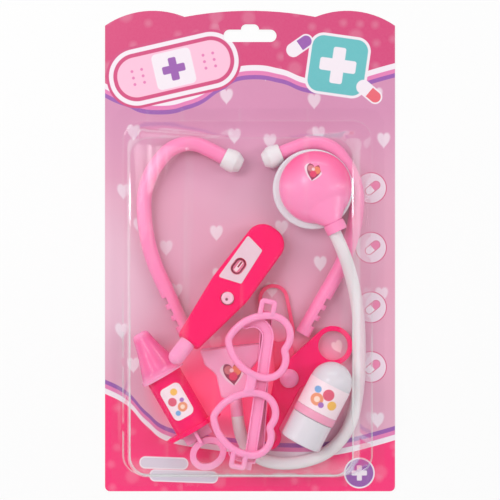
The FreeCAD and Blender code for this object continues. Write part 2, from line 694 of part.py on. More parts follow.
def lens_heart(grow, thick):
    """Heart-shaped solid: two lobe discs, and two long curves that meet in a point towards -X."""
    lobe = LOBE_RADIUS + grow
    flank = FLANK_RADIUS + grow
    middle = flank_middle()
    upper = Part.makeCylinder(flank, thick, middle)
    lower = Part.makeCylinder(flank, thick, V(middle.x, -middle.y, 0))
    back = Part.makeBox(2 * FLANK_RADIUS, 2 * FLANK_RADIUS, thick,
                        V(LOBE_AHEAD - 2 * FLANK_RADIUS, -FLANK_RADIUS, 0))
    heart = upper.common(lower).common(back)
    for side in (-1, 1):
        heart = heart.fuse(Part.makeCylinder(lobe, thick, V(LOBE_AHEAD, side * LOBE_APART, 0)))
    return heart.removeSplitter()


def glasses_frame():
    """One-piece frame: two heart rims, a bridge and a slotted hinge tab at each end."""
    half_pitch = LENS_PITCH / 2
    reach = half_pitch + LOBE_APART + LOBE_RADIUS
    half_width = BRIDGE_WIDTH / 2
    bridge = plate(rectangle(-half_width, half_width, -half_pitch / 2, half_pitch / 2, 0, 1), RIM_THICK)
    frame = bridge
    for side in (-1, 1):
        frame = frame.fuse(moved(lens_heart(0, RIM_THICK), 0, side * half_pitch, 0))
        near, far = sorted((side * (reach - RIM_WIDTH), side * (reach + TAB_LENGTH)))
        tab = rectangle(TAB_AHEAD - TAB_WIDTH / 2, TAB_AHEAD + TAB_WIDTH / 2, near, far, 0, 1)
        frame = frame.fuse(plate(tab, RIM_THICK))
    for side in (-1, 1):
        frame = frame.cut(moved(lens_heart(-RIM_WIDTH, RIM_THICK), 0, side * half_pitch, 0))
        low, high = sorted((side * (reach + TAB_SLOT_START), side * (reach + TAB_SLOT_START + TAB_SLOT_LENGTH)))
        slot = rectangle(TAB_AHEAD - TAB_SLOT_WIDTH / 2, TAB_AHEAD + TAB_SLOT_WIDTH / 2, low, high, 0, 0.5)
        frame = frame.cut(plate(slot, RIM_THICK))
    frame = frame.removeSplitter()
    frame.rotate(V(0, 0, 0), UP, GLASSES_TURN)
    return moved(frame, GLASSES_X, GLASSES_Y, GLASSES_Z)


def temple_band(width, low, high):
    """Straight bar along -Y that turns at the origin into a hook towards -X."""
    bar = Part.makeBox(width, TEMPLE_LENGTH, high - low, V(-width / 2, -TEMPLE_LENGTH, low))
    outer = TEMPLE_HOOK_RADIUS + width / 2
    inner = TEMPLE_HOOK_RADIUS - width / 2
    middle = V(-TEMPLE_HOOK_RADIUS, 0, low)
    hook = Part.makeCylinder(outer, high - low, middle, UP, TEMPLE_HOOK_TURN)
    hook = hook.cut(Part.makeCylinder(inner, high - low, middle))
    end = middle + direction(TEMPLE_HOOK_TURN) * TEMPLE_HOOK_RADIUS
    return bar.fuse(hook).fuse(Part.makeCylinder(width / 2, high - low, end)).removeSplitter()


def temple():
    """Temple arm with ribs along its edges and a hinge lug at its straight end."""
    arm = temple_band(TEMPLE_WIDTH, 0, TEMPLE_THICK)
    channel = temple_band(TEMPLE_WIDTH - 2 * TEMPLE_RIB, TEMPLE_FLOOR, TEMPLE_THICK)
    wall = Part.makeBox(TEMPLE_WIDTH, TEMPLE_RIB, TEMPLE_THICK, V(-TEMPLE_WIDTH / 2, -TEMPLE_LENGTH, 0))
    lug = Part.makeBox(TEMPLE_LUG_WIDTH, TEMPLE_LUG_LENGTH, TEMPLE_THICK,
                       V(-TEMPLE_LUG_WIDTH / 2, -TEMPLE_LENGTH - TEMPLE_LUG_LENGTH, 0))
    return arm.cut(channel).fuse(wall).fuse(lug).removeSplitter()


def temple_right():
    """Upper temple, hook towards the top of the card."""
    arm = temple()
    arm.rotate(V(0, 0, 0), UP, TEMPLE_ONE_TURN)
    return moved(arm, TEMPLE_ONE_X, TEMPLE_ONE_Y, TEMPLE_ONE_Z)


def temple_left():
    """Lower temple, the mirror of the upper one, hook towards the foot of the card."""
    arm = temple().mirror(V(0, 0, 0), V(0, 1, 0))
    arm.rotate(V(0, 0, 0), UP, TEMPLE_TWO_TURN)
    return moved(arm, TEMPLE_TWO_X, TEMPLE_TWO_Y, TEMPLE_TWO_Z)


def syringe_point(distance):
    """Point on the syringe's axis, a distance from the end of its nozzle."""
    return V(SYRINGE_X, SYRINGE_Y, SYRINGE_Z) + direction(SYRINGE_HEADING) * distance


def set_syringe(shape, distance):
    """Lays a piece that stands along Z on the syringe's axis."""
    laid(shape, SYRINGE_HEADING)
    shape.translate(syringe_point(distance))
    return shape


# Places along the syringe's axis, from the end of the nozzle
BARREL_AT = NOZZLE_LENGTH - BARREL_SPIGOT
BARREL_BORE = BARREL_RADIUS - BARREL_WALL
PISTON_AT = BARREL_AT + BARREL_END + PLUNGER_TRAVEL + RUN_GAP
PLUNGER_AT = PISTON_AT + PISTON_LENGTH
THUMB_RING_AT = PLUNGER_AT + PLUNGER_LENGTH + THUMB_RING_SHORT / 2


def syringe_nozzle():
    """Hollow flared nozzle whose skirt is pushed over the front of the barrel."""
    skirt = BARREL_RADIUS + FIT_GAP
    outer = skirt + NOZZLE_WALL
    lip_at = NOZZLE_LENGTH - NOZZLE_LIP_LENGTH
    nozzle = revolved((
        (NOZZLE_OUTLET_RADIUS, 0), (NOZZLE_TIP_RADIUS - NOZZLE_WALL, 0), (NOZZLE_TIP_RADIUS, NOZZLE_WALL),
        (outer, lip_at), (NOZZLE_LIP_RADIUS, lip_at), (NOZZLE_LIP_RADIUS, NOZZLE_LENGTH), (skirt, NOZZLE_LENGTH),
        (skirt, BARREL_AT - FIT_GAP), (skirt - 2 * NOZZLE_WALL, BARREL_AT - FIT_GAP),
        (NOZZLE_TIP_RADIUS - NOZZLE_WALL, 2 * NOZZLE_WALL), (NOZZLE_OUTLET_RADIUS, 2 * NOZZLE_WALL)))
    return set_syringe(nozzle, 0)


def syringe_barrel():
    """Barrel tube with a pierced front end and a winged finger flange at the back."""
    barrel = revolved((
        (NOZZLE_OUTLET_RADIUS, 0), (BARREL_RADIUS, 0), (BARREL_RADIUS, BARREL_LENGTH),
        (BARREL_BORE, BARREL_LENGTH), (BARREL_BORE, BARREL_END), (NOZZLE_OUTLET_RADIUS, BARREL_END)))
    half = FINGER_HEIGHT / 2
    wing = plate(rectangle(-half, half, -FINGER_WING, FINGER_WING, 0, half - 0.01), FINGER_THICK)
    disc = Part.makeCylinder(FINGER_DISC, FINGER_THICK)
    flange = wing.fuse(disc).cut(Part.makeCylinder(BARREL_BORE, FINGER_THICK))
    barrel = barrel.fuse(moved(flange, 0, 0, BARREL_LENGTH - FINGER_THICK)).removeSplitter()
    return set_syringe(barrel, BARREL_AT)


def syringe_piston():
    """Soft piston with two sealing lands."""
    land = BARREL_BORE - RUN_GAP
    waist = land - 1
    third = PISTON_LENGTH / 3
    piston = revolved(((0, 0), (land, 0), (land, third), (waist, third), (waist, 2 * third), (land, 2 * third),
                       (land, PISTON_LENGTH), (0, PISTON_LENGTH)))
    return set_syringe(piston, PISTON_AT)


def syringe_plunger():
    """Cross-webbed plunger rod that ends in a flat thumb ring."""
    span = BARREL_BORE - RUN_GAP - 0.6
    rod = Part.makeBox(2 * span, PLUNGER_WEB, PLUNGER_LENGTH + THUMB_RING_BAND / 2, V(-span, -PLUNGER_WEB / 2, 0))
    rod = rod.fuse(Part.makeBox(PLUNGER_WEB, 2 * span, PLUNGER_LENGTH, V(-PLUNGER_WEB / 2, -span, 0)))
    set_syringe(rod, PLUNGER_AT)
    outer = Part.Wire(Part.Ellipse(V(0, 0, 0), THUMB_RING_LONG / 2, THUMB_RING_SHORT / 2).toShape())
    inner = Part.Wire(Part.Ellipse(V(0, 0, 0), THUMB_RING_LONG / 2 - THUMB_RING_BAND,
                                   THUMB_RING_SHORT / 2 - THUMB_RING_BAND).toShape())
    ring = moved(plate(outer, THUMB_RING_THICK).cut(plate(inner, THUMB_RING_THICK)), 0, 0, -THUMB_RING_THICK / 2)
    ring.rotate(V(0, 0, 0), UP, SYRINGE_HEADING + 90)
    ring.translate(syringe_point(THUMB_RING_AT))
    hole = moved(plate(inner, THUMB_RING_LONG), 0, 0, -THUMB_RING_LONG / 2)
    hole.rotate(V(0, 0, 0), UP, SYRINGE_HEADING + 90)
    hole.translate(syringe_point(THUMB_RING_AT))
    return rod.cut(hole).fuse(ring)


def syringe_sticker():
    """Curved sticker on the top of the barrel."""
    patch = rectangle(-SYRINGE_STICKER_LENGTH / 2, SYRINGE_STICKER_LENGTH / 2, -SYRINGE_STICKER_WIDTH / 2,
                      SYRINGE_STICKER_WIDTH / 2, 0, SYRINGE_STICKER_WIDTH / 4)
    cutter = plate(patch, 2 * BARREL_RADIUS)
    cutter.rotate(V(0, 0, 0), UP, SYRINGE_HEADING)
    cutter.translate(syringe_point(SYRINGE_STICKER_AT))
    long = SYRINGE_STICKER_LENGTH * 2
    sleeve = Part.makeCylinder(BARREL_RADIUS + STICKER_THICK, long)
    sleeve = sleeve.cut(Part.makeCylinder(BARREL_RADIUS, long))
    return cutter.common(set_syringe(sleeve, SYRINGE_STICKER_AT - SYRINGE_STICKER_LENGTH))


def hull(first, first_radius, second, second_radius, z, thick):
    """Flat solid round two circles and their outer tangents."""
    left = tangent_points(first, first_radius, second, second_radius, 1)
    right = tangent_points(first, first_radius, second, second_radius, -1)
    corners = [left[0], left[1], right[1], right[0], left[0]]
    solid = Part.Face(Part.makePolygon(corners)).extrude(V(0, 0, thick))
    solid = solid.fuse(Part.makeCylinder(first_radius, thick, first))
    solid = solid.fuse(Part.makeCylinder(second_radius, thick, second))
    return moved(solid, 0, 0, z)


def forceps_jaw(z):
    """Boss, jaw and ring tip that both halves share; the rivet is the origin."""
    rivet = V(0, 0, 0)
    tip = V(JAW_X, JAW_Y, 0)
    ring = Part.makeCylinder(JAW_RING_HOLE + JAW_RING_BAND, FORCEPS_THICK, V(JAW_X, JAW_Y, z))
    return hull(rivet, BOSS_RADIUS, tip, JAW_WIDTH / 2, z, FORCEPS_THICK).fuse(ring)


def finish_half(half, z, bore):
    """Pierces the ring tip and the rivet hole, and carries a half to its place."""
    half = half.cut(Part.makeCylinder(JAW_RING_HOLE, FORCEPS_THICK, V(JAW_X, JAW_Y, z)))
    half = half.cut(Part.makeCylinder(bore, FORCEPS_THICK, V(0, 0, z)))
    return moved(half.removeSplitter(), FORCEPS_X, FORCEPS_Y, 0)


def forceps_half_a():
    """Upper half: round finger loop on a broad arm."""
    z = FLOOR + FORCEPS_THICK + RUN_GAP
    loop = V(LOOP_A_X, LOOP_A_Y, 0)
    half = forceps_jaw(z).fuse(hull(V(0, 0, 0), BOSS_RADIUS, loop, LOOP_A_HOLE + LOOP_A_BAND, z, FORCEPS_THICK))
    half = half.cut(Part.makeCylinder(LOOP_A_HOLE, FORCEPS_THICK, V(LOOP_A_X, LOOP_A_Y, z)))
    return finish_half(half, z, RIVET_RADIUS + FIT_GAP)


def forceps_half_b():
    """Lower half: long finger loop with a thin band."""
    z = FLOOR
    middle = V(LOOP_B_X, LOOP_B_Y, 0)
    along = V(middle).normalize() * (LOOP_B_STRETCH / 2)
    near = middle - along
    far = middle + along
    band = LOOP_B_HOLE + LOOP_B_BAND
    half = forceps_jaw(z).fuse(hull(V(0, 0, 0), BOSS_RADIUS, near, ARM_END_RADIUS, z, FORCEPS_THICK))
    half = half.fuse(hull(near, band, far, band, z, FORCEPS_THICK))
    half = half.cut(hull(near, LOOP_B_HOLE, far, LOOP_B_HOLE, z, FORCEPS_THICK))
    return finish_half(half, z, RIVET_RADIUS + RUN_GAP)


def forceps_rivet():
    """Rivet with a domed head and a turned bead round it."""
    shank = FORCEPS_TOP - FLOOR + FIT_GAP
    head = RIVET_HEAD_HEIGHT
    edges = [
        Part.LineSegment(V(0, 0, 0), V(RIVET_RADIUS, 0, 0)).toShape(),
        Part.LineSegment(V(RIVET_RADIUS, 0, 0), V(RIVET_RADIUS, 0, shank)).toShape(),
        Part.LineSegment(V(RIVET_RADIUS, 0, shank), V(RIVET_HEAD_RADIUS, 0, shank)).toShape(),
        Part.LineSegment(V(RIVET_HEAD_RADIUS, 0, shank), V(RIVET_HEAD_RADIUS, 0, shank + head * 0.4)).toShape(),
        Part.Arc(V(RIVET_HEAD_RADIUS, 0, shank + head * 0.4),
                 V(RIVET_HEAD_RADIUS * 0.62, 0, shank + head * 0.88), V(CROWN_FLAT, 0, shank + head)).toShape(),
        Part.LineSegment(V(CROWN_FLAT, 0, shank + head), V(0, 0, shank + head)).toShape(),
        Part.LineSegment(V(0, 0, shank + head), V(0, 0, 0)).toShape(),
    ]
    rivet = Part.Face(Part.Wire(edges)).revolve(V(0, 0, 0), UP, 360)
    return moved(rivet, FORCEPS_X, FORCEPS_Y, FLOOR)


def set_bottle(shape):
    """Lays a piece that stands along Z on the bottle's axis, cap end first."""
    laid(shape, BOTTLE_HEADING)
    return moved(shape, BOTTLE_X, BOTTLE_Y, BOTTLE_Z)


def bottle_form(radius, neck, low, high, dome):
    """Turned form: a neck from low, a body from the cap's mouth and a round dome that ends at high."""
    mouth = BOTTLE_CAP_LENGTH + BOTTLE_RADIUS - radius
    spring = high - dome
    bend = math.sqrt(0.5)
    edges = [
        Part.LineSegment(V(0, 0, low), V(neck, 0, low)).toShape(),
        Part.LineSegment(V(neck, 0, low), V(neck, 0, mouth)).toShape(),
        Part.LineSegment(V(neck, 0, mouth), V(radius, 0, mouth)).toShape(),
        Part.LineSegment(V(radius, 0, mouth), V(radius, 0, spring)).toShape(),
        Part.Arc(V(radius, 0, spring), V(radius * bend, 0, spring + dome * bend),
                 V(CROWN_FLAT, 0, high)).toShape(),
        Part.LineSegment(V(CROWN_FLAT, 0, high), V(0, 0, high)).toShape(),
        Part.LineSegment(V(0, 0, high), V(0, 0, low)).toShape(),
    ]
    return Part.Face(Part.Wire(edges)).revolve(V(0, 0, 0), UP, 360)


def bottle_body():
    """Blown bottle with an open neck, a groove for its band and a domed end."""
    neck_at = BOTTLE_CAP_LENGTH - BOTTLE_NECK_LENGTH
    outside = bottle_form(BOTTLE_RADIUS, BOTTLE_NECK_RADIUS, neck_at, BOTTLE_LENGTH, BOTTLE_DOME_HEIGHT)
    inside = bottle_form(BOTTLE_RADIUS - 2 * BOTTLE_WALL, BOTTLE_NECK_RADIUS - BOTTLE_WALL, neck_at,
                         BOTTLE_LENGTH - BOTTLE_WALL, BOTTLE_DOME_HEIGHT)
    groove = Part.makeCylinder(BOTTLE_RADIUS * 2, BOTTLE_BAND_LENGTH)
    groove = groove.cut(Part.makeCylinder(BOTTLE_RADIUS - BOTTLE_WALL / 2, BOTTLE_BAND_LENGTH))
    return set_bottle(outside.cut(inside).cut(moved(groove, 0, 0, BOTTLE_CAP_LENGTH + RUN_GAP)))


def bottle_band():
    """Tinted band shrunk into the bottle's groove below the cap."""
    inner = BOTTLE_RADIUS - BOTTLE_WALL / 2
    band = Part.makeCylinder(BOTTLE_RADIUS + BOTTLE_BAND_PROUD, BOTTLE_BAND_LENGTH)
    band = band.cut(Part.makeCylinder(inner, BOTTLE_BAND_LENGTH))
    return set_bottle(moved(band, 0, 0, BOTTLE_CAP_LENGTH + RUN_GAP))


def bottle_cap():
    """Smooth push-on cap."""
    cap = Part.makeCylinder(BOTTLE_RADIUS, BOTTLE_CAP_LENGTH)
    rim = [edge for edge in cap.Edges if edge.CenterOfMass.z < 1e-6 and len(edge.Vertexes) == 1]
    cap = cap.makeFillet(BOTTLE_CAP_WALL / 2, rim)
    hollow = Part.makeCylinder(BOTTLE_NECK_RADIUS + RUN_GAP, BOTTLE_CAP_LENGTH)
    return set_bottle(cap.cut(moved(hollow, 0, 0, BOTTLE_CAP_WALL)))


def bottle_label():
    """Wrap label on the body between the band and the dome."""
    start = BOTTLE_CAP_LENGTH + RUN_GAP + BOTTLE_BAND_LENGTH
    label = Part.makeCylinder(BOTTLE_RADIUS + STICKER_THICK, BOTTLE_LABEL_LENGTH, V(0, 0, 0), UP,
                              BOTTLE_LABEL_WRAP)
    label = label.cut(Part.makeCylinder(BOTTLE_RADIUS, BOTTLE_LABEL_LENGTH))
    label.rotate(V(0, 0, 0), UP, 180 - BOTTLE_LABEL_WRAP / 2)
    return set_bottle(moved(label, 0, 0, start))


def set_thermo(shape):
    """Carries a piece from the thermometer's own frame, round end at the origin, to its place."""
    shape.rotate(V(0, 0, 0), V(0, 1, 0), -thermo_tilt())
    shape.rotate(V(0, 0, 0), UP, THERMO_HEADING)
    return moved(shape, THERMO_TOP_X, THERMO_TOP_Y, FLOOR)


def thermo_outline(inset, z):
    """Plan of the body: round top end, tapered flanks and a narrow tip end."""
    corners = [
        V(inset, -THERMO_TOP_HALF + inset, z), V(THERMO_TAPER_START, -THERMO_LEFT_HALF + inset, z),
        V(THERMO_LENGTH - inset, -THERMO_END_LEFT + inset, z),
        V(THERMO_LENGTH - inset, THERMO_END_RIGHT - inset, z),
        V(THERMO_TAPER_START, THERMO_RIGHT_HALF - inset, z), V(inset, THERMO_TOP_HALF - inset, z),
    ]
    round_end = THERMO_TOP_HALF - inset - 1
    return rounded_wire(corners, (round_end, THERMO_FLANK_ROUND, THERMO_ROUND, THERMO_ROUND, THERMO_FLANK_ROUND,
                                  round_end))


def thermo_tip_form(grow):
    """Round tip, with the plug that the two shells hold."""
    middle = THERMO_THICK / 2
    start = V(THERMO_LENGTH - THERMO_TIP_PLUG, TIP_MIDDLE_Y, middle)
    plug = Part.makeCylinder(THERMO_TIP_RADIUS * 0.6 + grow, THERMO_TIP_PLUG, start, V(1, 0, 0))
    neck = Part.makeCylinder(THERMO_TIP_RADIUS, TIP_MIDDLE_X - THERMO_LENGTH,
                             V(THERMO_LENGTH, TIP_MIDDLE_Y, middle), V(1, 0, 0))
    nose = Part.makeSphere(THERMO_TIP_RADIUS, V(TIP_MIDDLE_X, TIP_MIDDLE_Y, middle))
    return plug.fuse(neck).fuse(nose).removeSplitter()


def thermo_shell(front):
    """Half of the hollow body; the front half is pierced for the window and the button."""
    half = THERMO_THICK / 2
    inner_top = THERMO_THICK - THERMO_WALL
    if front:
        shell = plate(thermo_outline(0, half), half)
        edge_z = THERMO_THICK
        hollow = plate(thermo_outline(THERMO_WALL, half), half - THERMO_WALL)
    else:
        shell = plate(thermo_outline(0, 0), half)
        edge_z = 0
        hollow = plate(thermo_outline(THERMO_WALL, THERMO_WALL), half - THERMO_WALL)
    rim = [edge for edge in shell.Edges if abs(edge.CenterOfMass.z - edge_z) < 1e-6]
    shell = shell.makeFillet(THERMO_ROUND, rim).cut(hollow).cut(thermo_tip_form(FIT_GAP))
    if front:
        shell = shell.cut(plate(thermo_window(inner_top), THERMO_WALL))
        well = Part.makeCylinder(THERMO_BUTTON_RADIUS + RUN_GAP, THERMO_WALL,
                                 V(THERMO_BUTTON_X, THERMO_BUTTON_Y, inner_top))
        shell = shell.cut(well)
    return set_thermo(shell)


def thermometer_front():
    """Upper shell."""
    return thermo_shell(True)


def thermometer_back():
    """Lower shell."""
    return thermo_shell(False)


def thermometer_tip():
    """Pale tip that plugs into the narrow end."""
    return set_thermo(thermo_tip_form(0))


def thermo_window(z):
    """Rounded window outline."""
    x = THERMO_WINDOW_X
    y = THERMO_WINDOW_Y
    return rectangle(x - THERMO_WINDOW_LENGTH / 2, x + THERMO_WINDOW_LENGTH / 2, y - THERMO_WINDOW_WIDTH / 2,
                     y + THERMO_WINDOW_WIDTH / 2, z, THERMO_WINDOW_WIDTH / 2 - 0.01)


def thermometer_label():
    """Four-sided label round the window."""
    corners = [V(x, y, THERMO_THICK) for x, y in THERMO_LABEL]
    label = plate(rounded_wire(corners, 1.0), STICKER_THICK)
    return set_thermo(label.cut(plate(thermo_window(THERMO_THICK), STICKER_THICK)))


def thermometer_scale():
    """Scale strip fixed behind the window."""
    margin = THERMO_WALL
    x = THERMO_WINDOW_X
    y = THERMO_WINDOW_Y
    strip = rectangle(x - THERMO_WINDOW_LENGTH / 2 - margin, x + THERMO_WINDOW_LENGTH / 2 + margin,
                      y - THERMO_WINDOW_WIDTH / 2 - margin, y + THERMO_WINDOW_WIDTH / 2 + margin,
                      THERMO_THICK - THERMO_WALL - THERMO_SCALE_THICK, 1)
    return set_thermo(plate(strip, THERMO_SCALE_THICK))


def thermometer_button():
    """Push button with a dished top and a flange that keeps it behind the wall."""
    under = THERMO_THICK - THERMO_WALL - RUN_GAP
    top = THERMO_THICK + THERMO_BUTTON_PROUD
    flange = THERMO_BUTTON_RADIUS + THERMO_BUTTON_FLANGE
    dish = THERMO_BUTTON_RADIUS * 0.3
    button = revolved(((0, under - THERMO_BUTTON_FLANGE), (flange, under - THERMO_BUTTON_FLANGE), (flange, under),
                       (THERMO_BUTTON_RADIUS, under), (THERMO_BUTTON_RADIUS, top - 0.5),
                       (THERMO_BUTTON_RADIUS - 0.6, top), (dish, top), (dish, top - 0.5), (0, top - 0.5)))
    return set_thermo(moved(button, THERMO_BUTTON_X, THERMO_BUTTON_Y, 0))


def hose_points():
    """Route of the hose from the bottom of the collar's socket to the end of the connector's neck."""
    socket_at = CHEST_NECK_REACH + CHEST_COLLAR_LENGTH - CHEST_SOCKET_DEPTH
    start = chest_neck(socket_at, HOSE_START_Z)
    lowest = FLOOR + HOSE_RADIUS
    middle = [V(x, y, lowest + z) for x, y, z in HOSE_ROUTE]
    turn = math.radians(YOKE_TURN)
    drop = YOKE_FOOT_DROP + YOKE_NECK_LENGTH
    neck = V(math.sin(turn), -math.cos(turn), 0)
    end = V(YOKE_X, YOKE_Y, FLOOR + YOKE_THICK / 2) + neck * drop
    out = chest_neck(CHEST_NECK_REACH + CHEST_COLLAR_LENGTH + HOSE_LEAD_OUT, HOSE_START_Z)
    return [start, out] + middle + [end + neck * HOSE_LEAD_IN, end]


def stethoscope_hose():
    """Soft hose: straight runs joined by arcs as large as the runs allow."""
    points = hose_points()
    bends = []
    for before, corner, after in zip(points, points[1:], points[2:]):
        run = min((corner - before).Length, (after - corner).Length)
        turn = (corner - before).getAngle(after - corner)
        bends.append(0.45 * run / math.tan(turn / 2))
    path = bent_path(points, bends)
    hose = tube_along(path, HOSE_RADIUS)
    print("hose radii", [round(bend, 1) for bend in bends])
    print("hose length", round(path.Length, 1), "volume ratio",
          round(hose.Volume / (math.pi * HOSE_RADIUS ** 2 * path.Length), 4))
    return hose


def main():
    """Builds and writes every piece."""
    os.makedirs("parts", exist_ok=True)
    pieces = [
        backing_card, blister, chest_dome, chest_rim, chest_diaphragm, chest_sticker, stethoscope_hose, hose_yoke,
        yoke_sticker, glasses_frame, temple_left, temple_right, thermometer_front, thermometer_back,
        thermometer_tip, thermometer_label, thermometer_scale, thermometer_button, syringe_nozzle, syringe_barrel,
        syringe_piston, syringe_plunger, syringe_sticker, forceps_half_a, forceps_half_b, forceps_rivet,
        bottle_body, bottle_band, bottle_cap, bottle_label,
    ]
    for piece in pieces:
        save(piece.__name__, piece())
    for side, right in (("left", False), ("right", True)):
        save("ear_tube_" + side, ear_tube(right))
        save("ear_tip_" + side, ear_tip(right))


if __name__ == "__main__":
    main()
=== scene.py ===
"""Looks of a carded blister pack with a toy doctor set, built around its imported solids."""

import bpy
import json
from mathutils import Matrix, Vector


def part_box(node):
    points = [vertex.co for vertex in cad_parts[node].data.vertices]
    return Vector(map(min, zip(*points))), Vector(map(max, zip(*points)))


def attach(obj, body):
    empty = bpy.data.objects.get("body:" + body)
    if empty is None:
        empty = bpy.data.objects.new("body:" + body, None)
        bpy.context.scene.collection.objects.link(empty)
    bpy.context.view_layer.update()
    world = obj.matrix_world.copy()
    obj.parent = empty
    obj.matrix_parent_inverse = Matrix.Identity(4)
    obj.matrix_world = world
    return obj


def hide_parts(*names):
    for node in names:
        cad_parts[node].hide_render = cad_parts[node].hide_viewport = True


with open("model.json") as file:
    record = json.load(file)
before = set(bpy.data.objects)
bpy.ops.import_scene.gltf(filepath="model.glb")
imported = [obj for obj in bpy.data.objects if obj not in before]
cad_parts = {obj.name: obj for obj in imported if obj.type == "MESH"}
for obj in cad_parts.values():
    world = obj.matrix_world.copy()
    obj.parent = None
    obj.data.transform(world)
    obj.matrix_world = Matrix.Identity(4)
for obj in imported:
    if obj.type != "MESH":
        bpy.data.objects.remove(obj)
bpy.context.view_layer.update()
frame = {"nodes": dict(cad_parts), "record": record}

import json
import math

import bmesh
import bpy
import numpy as np

bl_info = {
    "name": "Toy doctor set in a blister pack",
    "version": (1, 0, 0),
    "blender": (4, 5, 0),
    "location": "3D View > Sidebar > Toy pack",
    "description": "Dresses the packed solids of a carded toy doctor set",
    "category": "Object",
}

# Units and levels: sizes are in millimetres and turns in degrees, unless a line says otherwise

MM = 0.001
CARD_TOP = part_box("backing_card")[1][2]  # metres
BLISTER_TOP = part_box("blister")[1][2] / MM
FLANGE_LIFT = 0.06  # the drawn blister's flange stays this far off the card's face

# Edges

CRISP_EDGE = 0.3  # width over which a printed edge fades
SOFT_EDGE = 0.4
SHARP_ANGLE = 38.0  # shading breaks where faces meet at more than this
FLAT_ANGLE = 0.3  # faces that meet at less than this become one
BEVEL_ANGLE = 40.0
BEVEL_STEPS = 3

# Places of the toys

EAR_END = (-15.6, 56.3)  # left ear tube's end, and the way its tip points
EAR_OUT = (0.8936, -0.4488)
EAR_FOOT_Y = -50.3  # the tubes rise from here up the card
EAR_FOOT_Z = 5.4
EAR_LEAN = 1.3435
EAR_MIRROR_X = 1.0  # the right-hand tube is the left one mirrored, then turned about a point
EAR_RIGHT_PIVOT = (42.0, 45.0)
EAR_RIGHT_TURN = -5.0
CHEST = (37.3, 36.7)
CHEST_RIM_Z = 12.77
DOME_PIVOT = (57.5, 49.0)  # the drawn dome shrinks about this point, then moves
DOME_SHRINK = 0.955
DOME_SHIFT = (0.6, 0.5)
DOME_MIDDLE = (38.8, 37.8)
DOME_NECK_TURN = -64.0
COLLAR_START = 23.3  # from the dome's middle along its neck
GLASSES = (0.3, -78.0)
GLASSES_TURN = -10.8
GLASSES_MIDDLE_Z = 24.0
RIM_HALF_WIDE = 2.2
RIM_HALF_HIGH = 2.1
LENS_OFFSET = 23.15  # from the bridge's middle to a lens's middle
WINDOW = (-6.8, -9.0)
WINDOW_TURN = 232.7
SYRINGE_NOSE = (-66.0, -48.7, 14.5)
SYRINGE_TURN = -60.0
BOTTLE_FOOT = (29.5, -113.5, 18.0)
BOTTLE_TURN = 62.5

# Stickers and labels: place on the card, turn, and width, or length and width

CHEST_STICKER = (37.3, 46.7, -12.0, 11.5)
YOKE_STICKER = (-10.2, -72.4, 5.9, 15.0)
SYRINGE_STICKER = (-43.0, -88.5, SYRINGE_TURN, 21.0, 13.0)
BOTTLE_LABEL = (43.6, -86.5, BOTTLE_TURN + 90.0, 20.0, 17.0)

# Edges of the blister where painted highlights lie: middle, half sizes and corner

ROOF_EDGE = (-5.0, -32.25, 64.7, 97.95, 11.5)
FOOT_EDGE = (-1.5, -28.0, 75.0, 106.5, 11.5)

# Route of the hose, from the chest piece's socket to the connector's neck

HOSE_ROUTE = (
    (48.52, 13.69, 21.37), (54.66, 1.11, 21.37), (60.6, -16.0, 13.75), (64.8, -35.0, 7.15),
    (66.0, -58.0, 4.75), (65.4, -82.0, 4.75), (61.0, -105.0, 4.75), (48.5, -121.0, 4.75),
    (30.0, -127.6, 4.75), (11.4, -127.5, 4.75), (0.0, -120.9, 5.15), (-6.35, -109.72, 7.2),
    (-7.48, -98.78, 7.2),
)

# Lamps: name, place, width and height in metres, power in watts, and whether gloss mirrors them

LAMPS = (
    ("softbox_left", (-0.75, 0.35, 0.95), (0.55, 0.8), 4.4, False),
    ("softbox_right", (0.8, 0.1, 0.9), (0.3, 0.8), 2.1, False),
    ("window_high", (-0.42, 0.36, 1.15), (0.22, 0.3), 1.6, True),
    ("strip_top", (0.05, 0.85, 0.55), (0.9, 0.06), 1.7, True),
    ("strip_foot", (0.0, -0.9, 0.5), (0.8, 0.06), 1.2, True),
    ("strip_left", (-0.9, 0.1, 0.55), (0.06, 0.9), 1.2, True),
    ("strip_right", (0.9, 0.1, 0.55), (0.06, 0.9), 1.2, True),
)


def shade(red, green, blue):
    """Linear colour of a screen colour given from 0 to 255."""
    values = np.array((red, green, blue)) / 255.0
    linear = np.where(values <= 0.04045, values / 12.92, ((values + 0.055) / 1.055) ** 2.4)
    return tuple(float(v) for v in linear) + (1.0,)


def spun(x, y, degrees):
    """A flat place turned about the origin; works on numbers, arrays and shader values."""
    cosine = math.cos(math.radians(degrees))
    sine = math.sin(math.radians(degrees))
    return x * cosine - y * sine, x * sine + y * cosine


def heading(degrees):
    """Level direction at an angle from the card's X axis."""
    return (*spun(1.0, 0.0, degrees), 0.0)


# Shader building


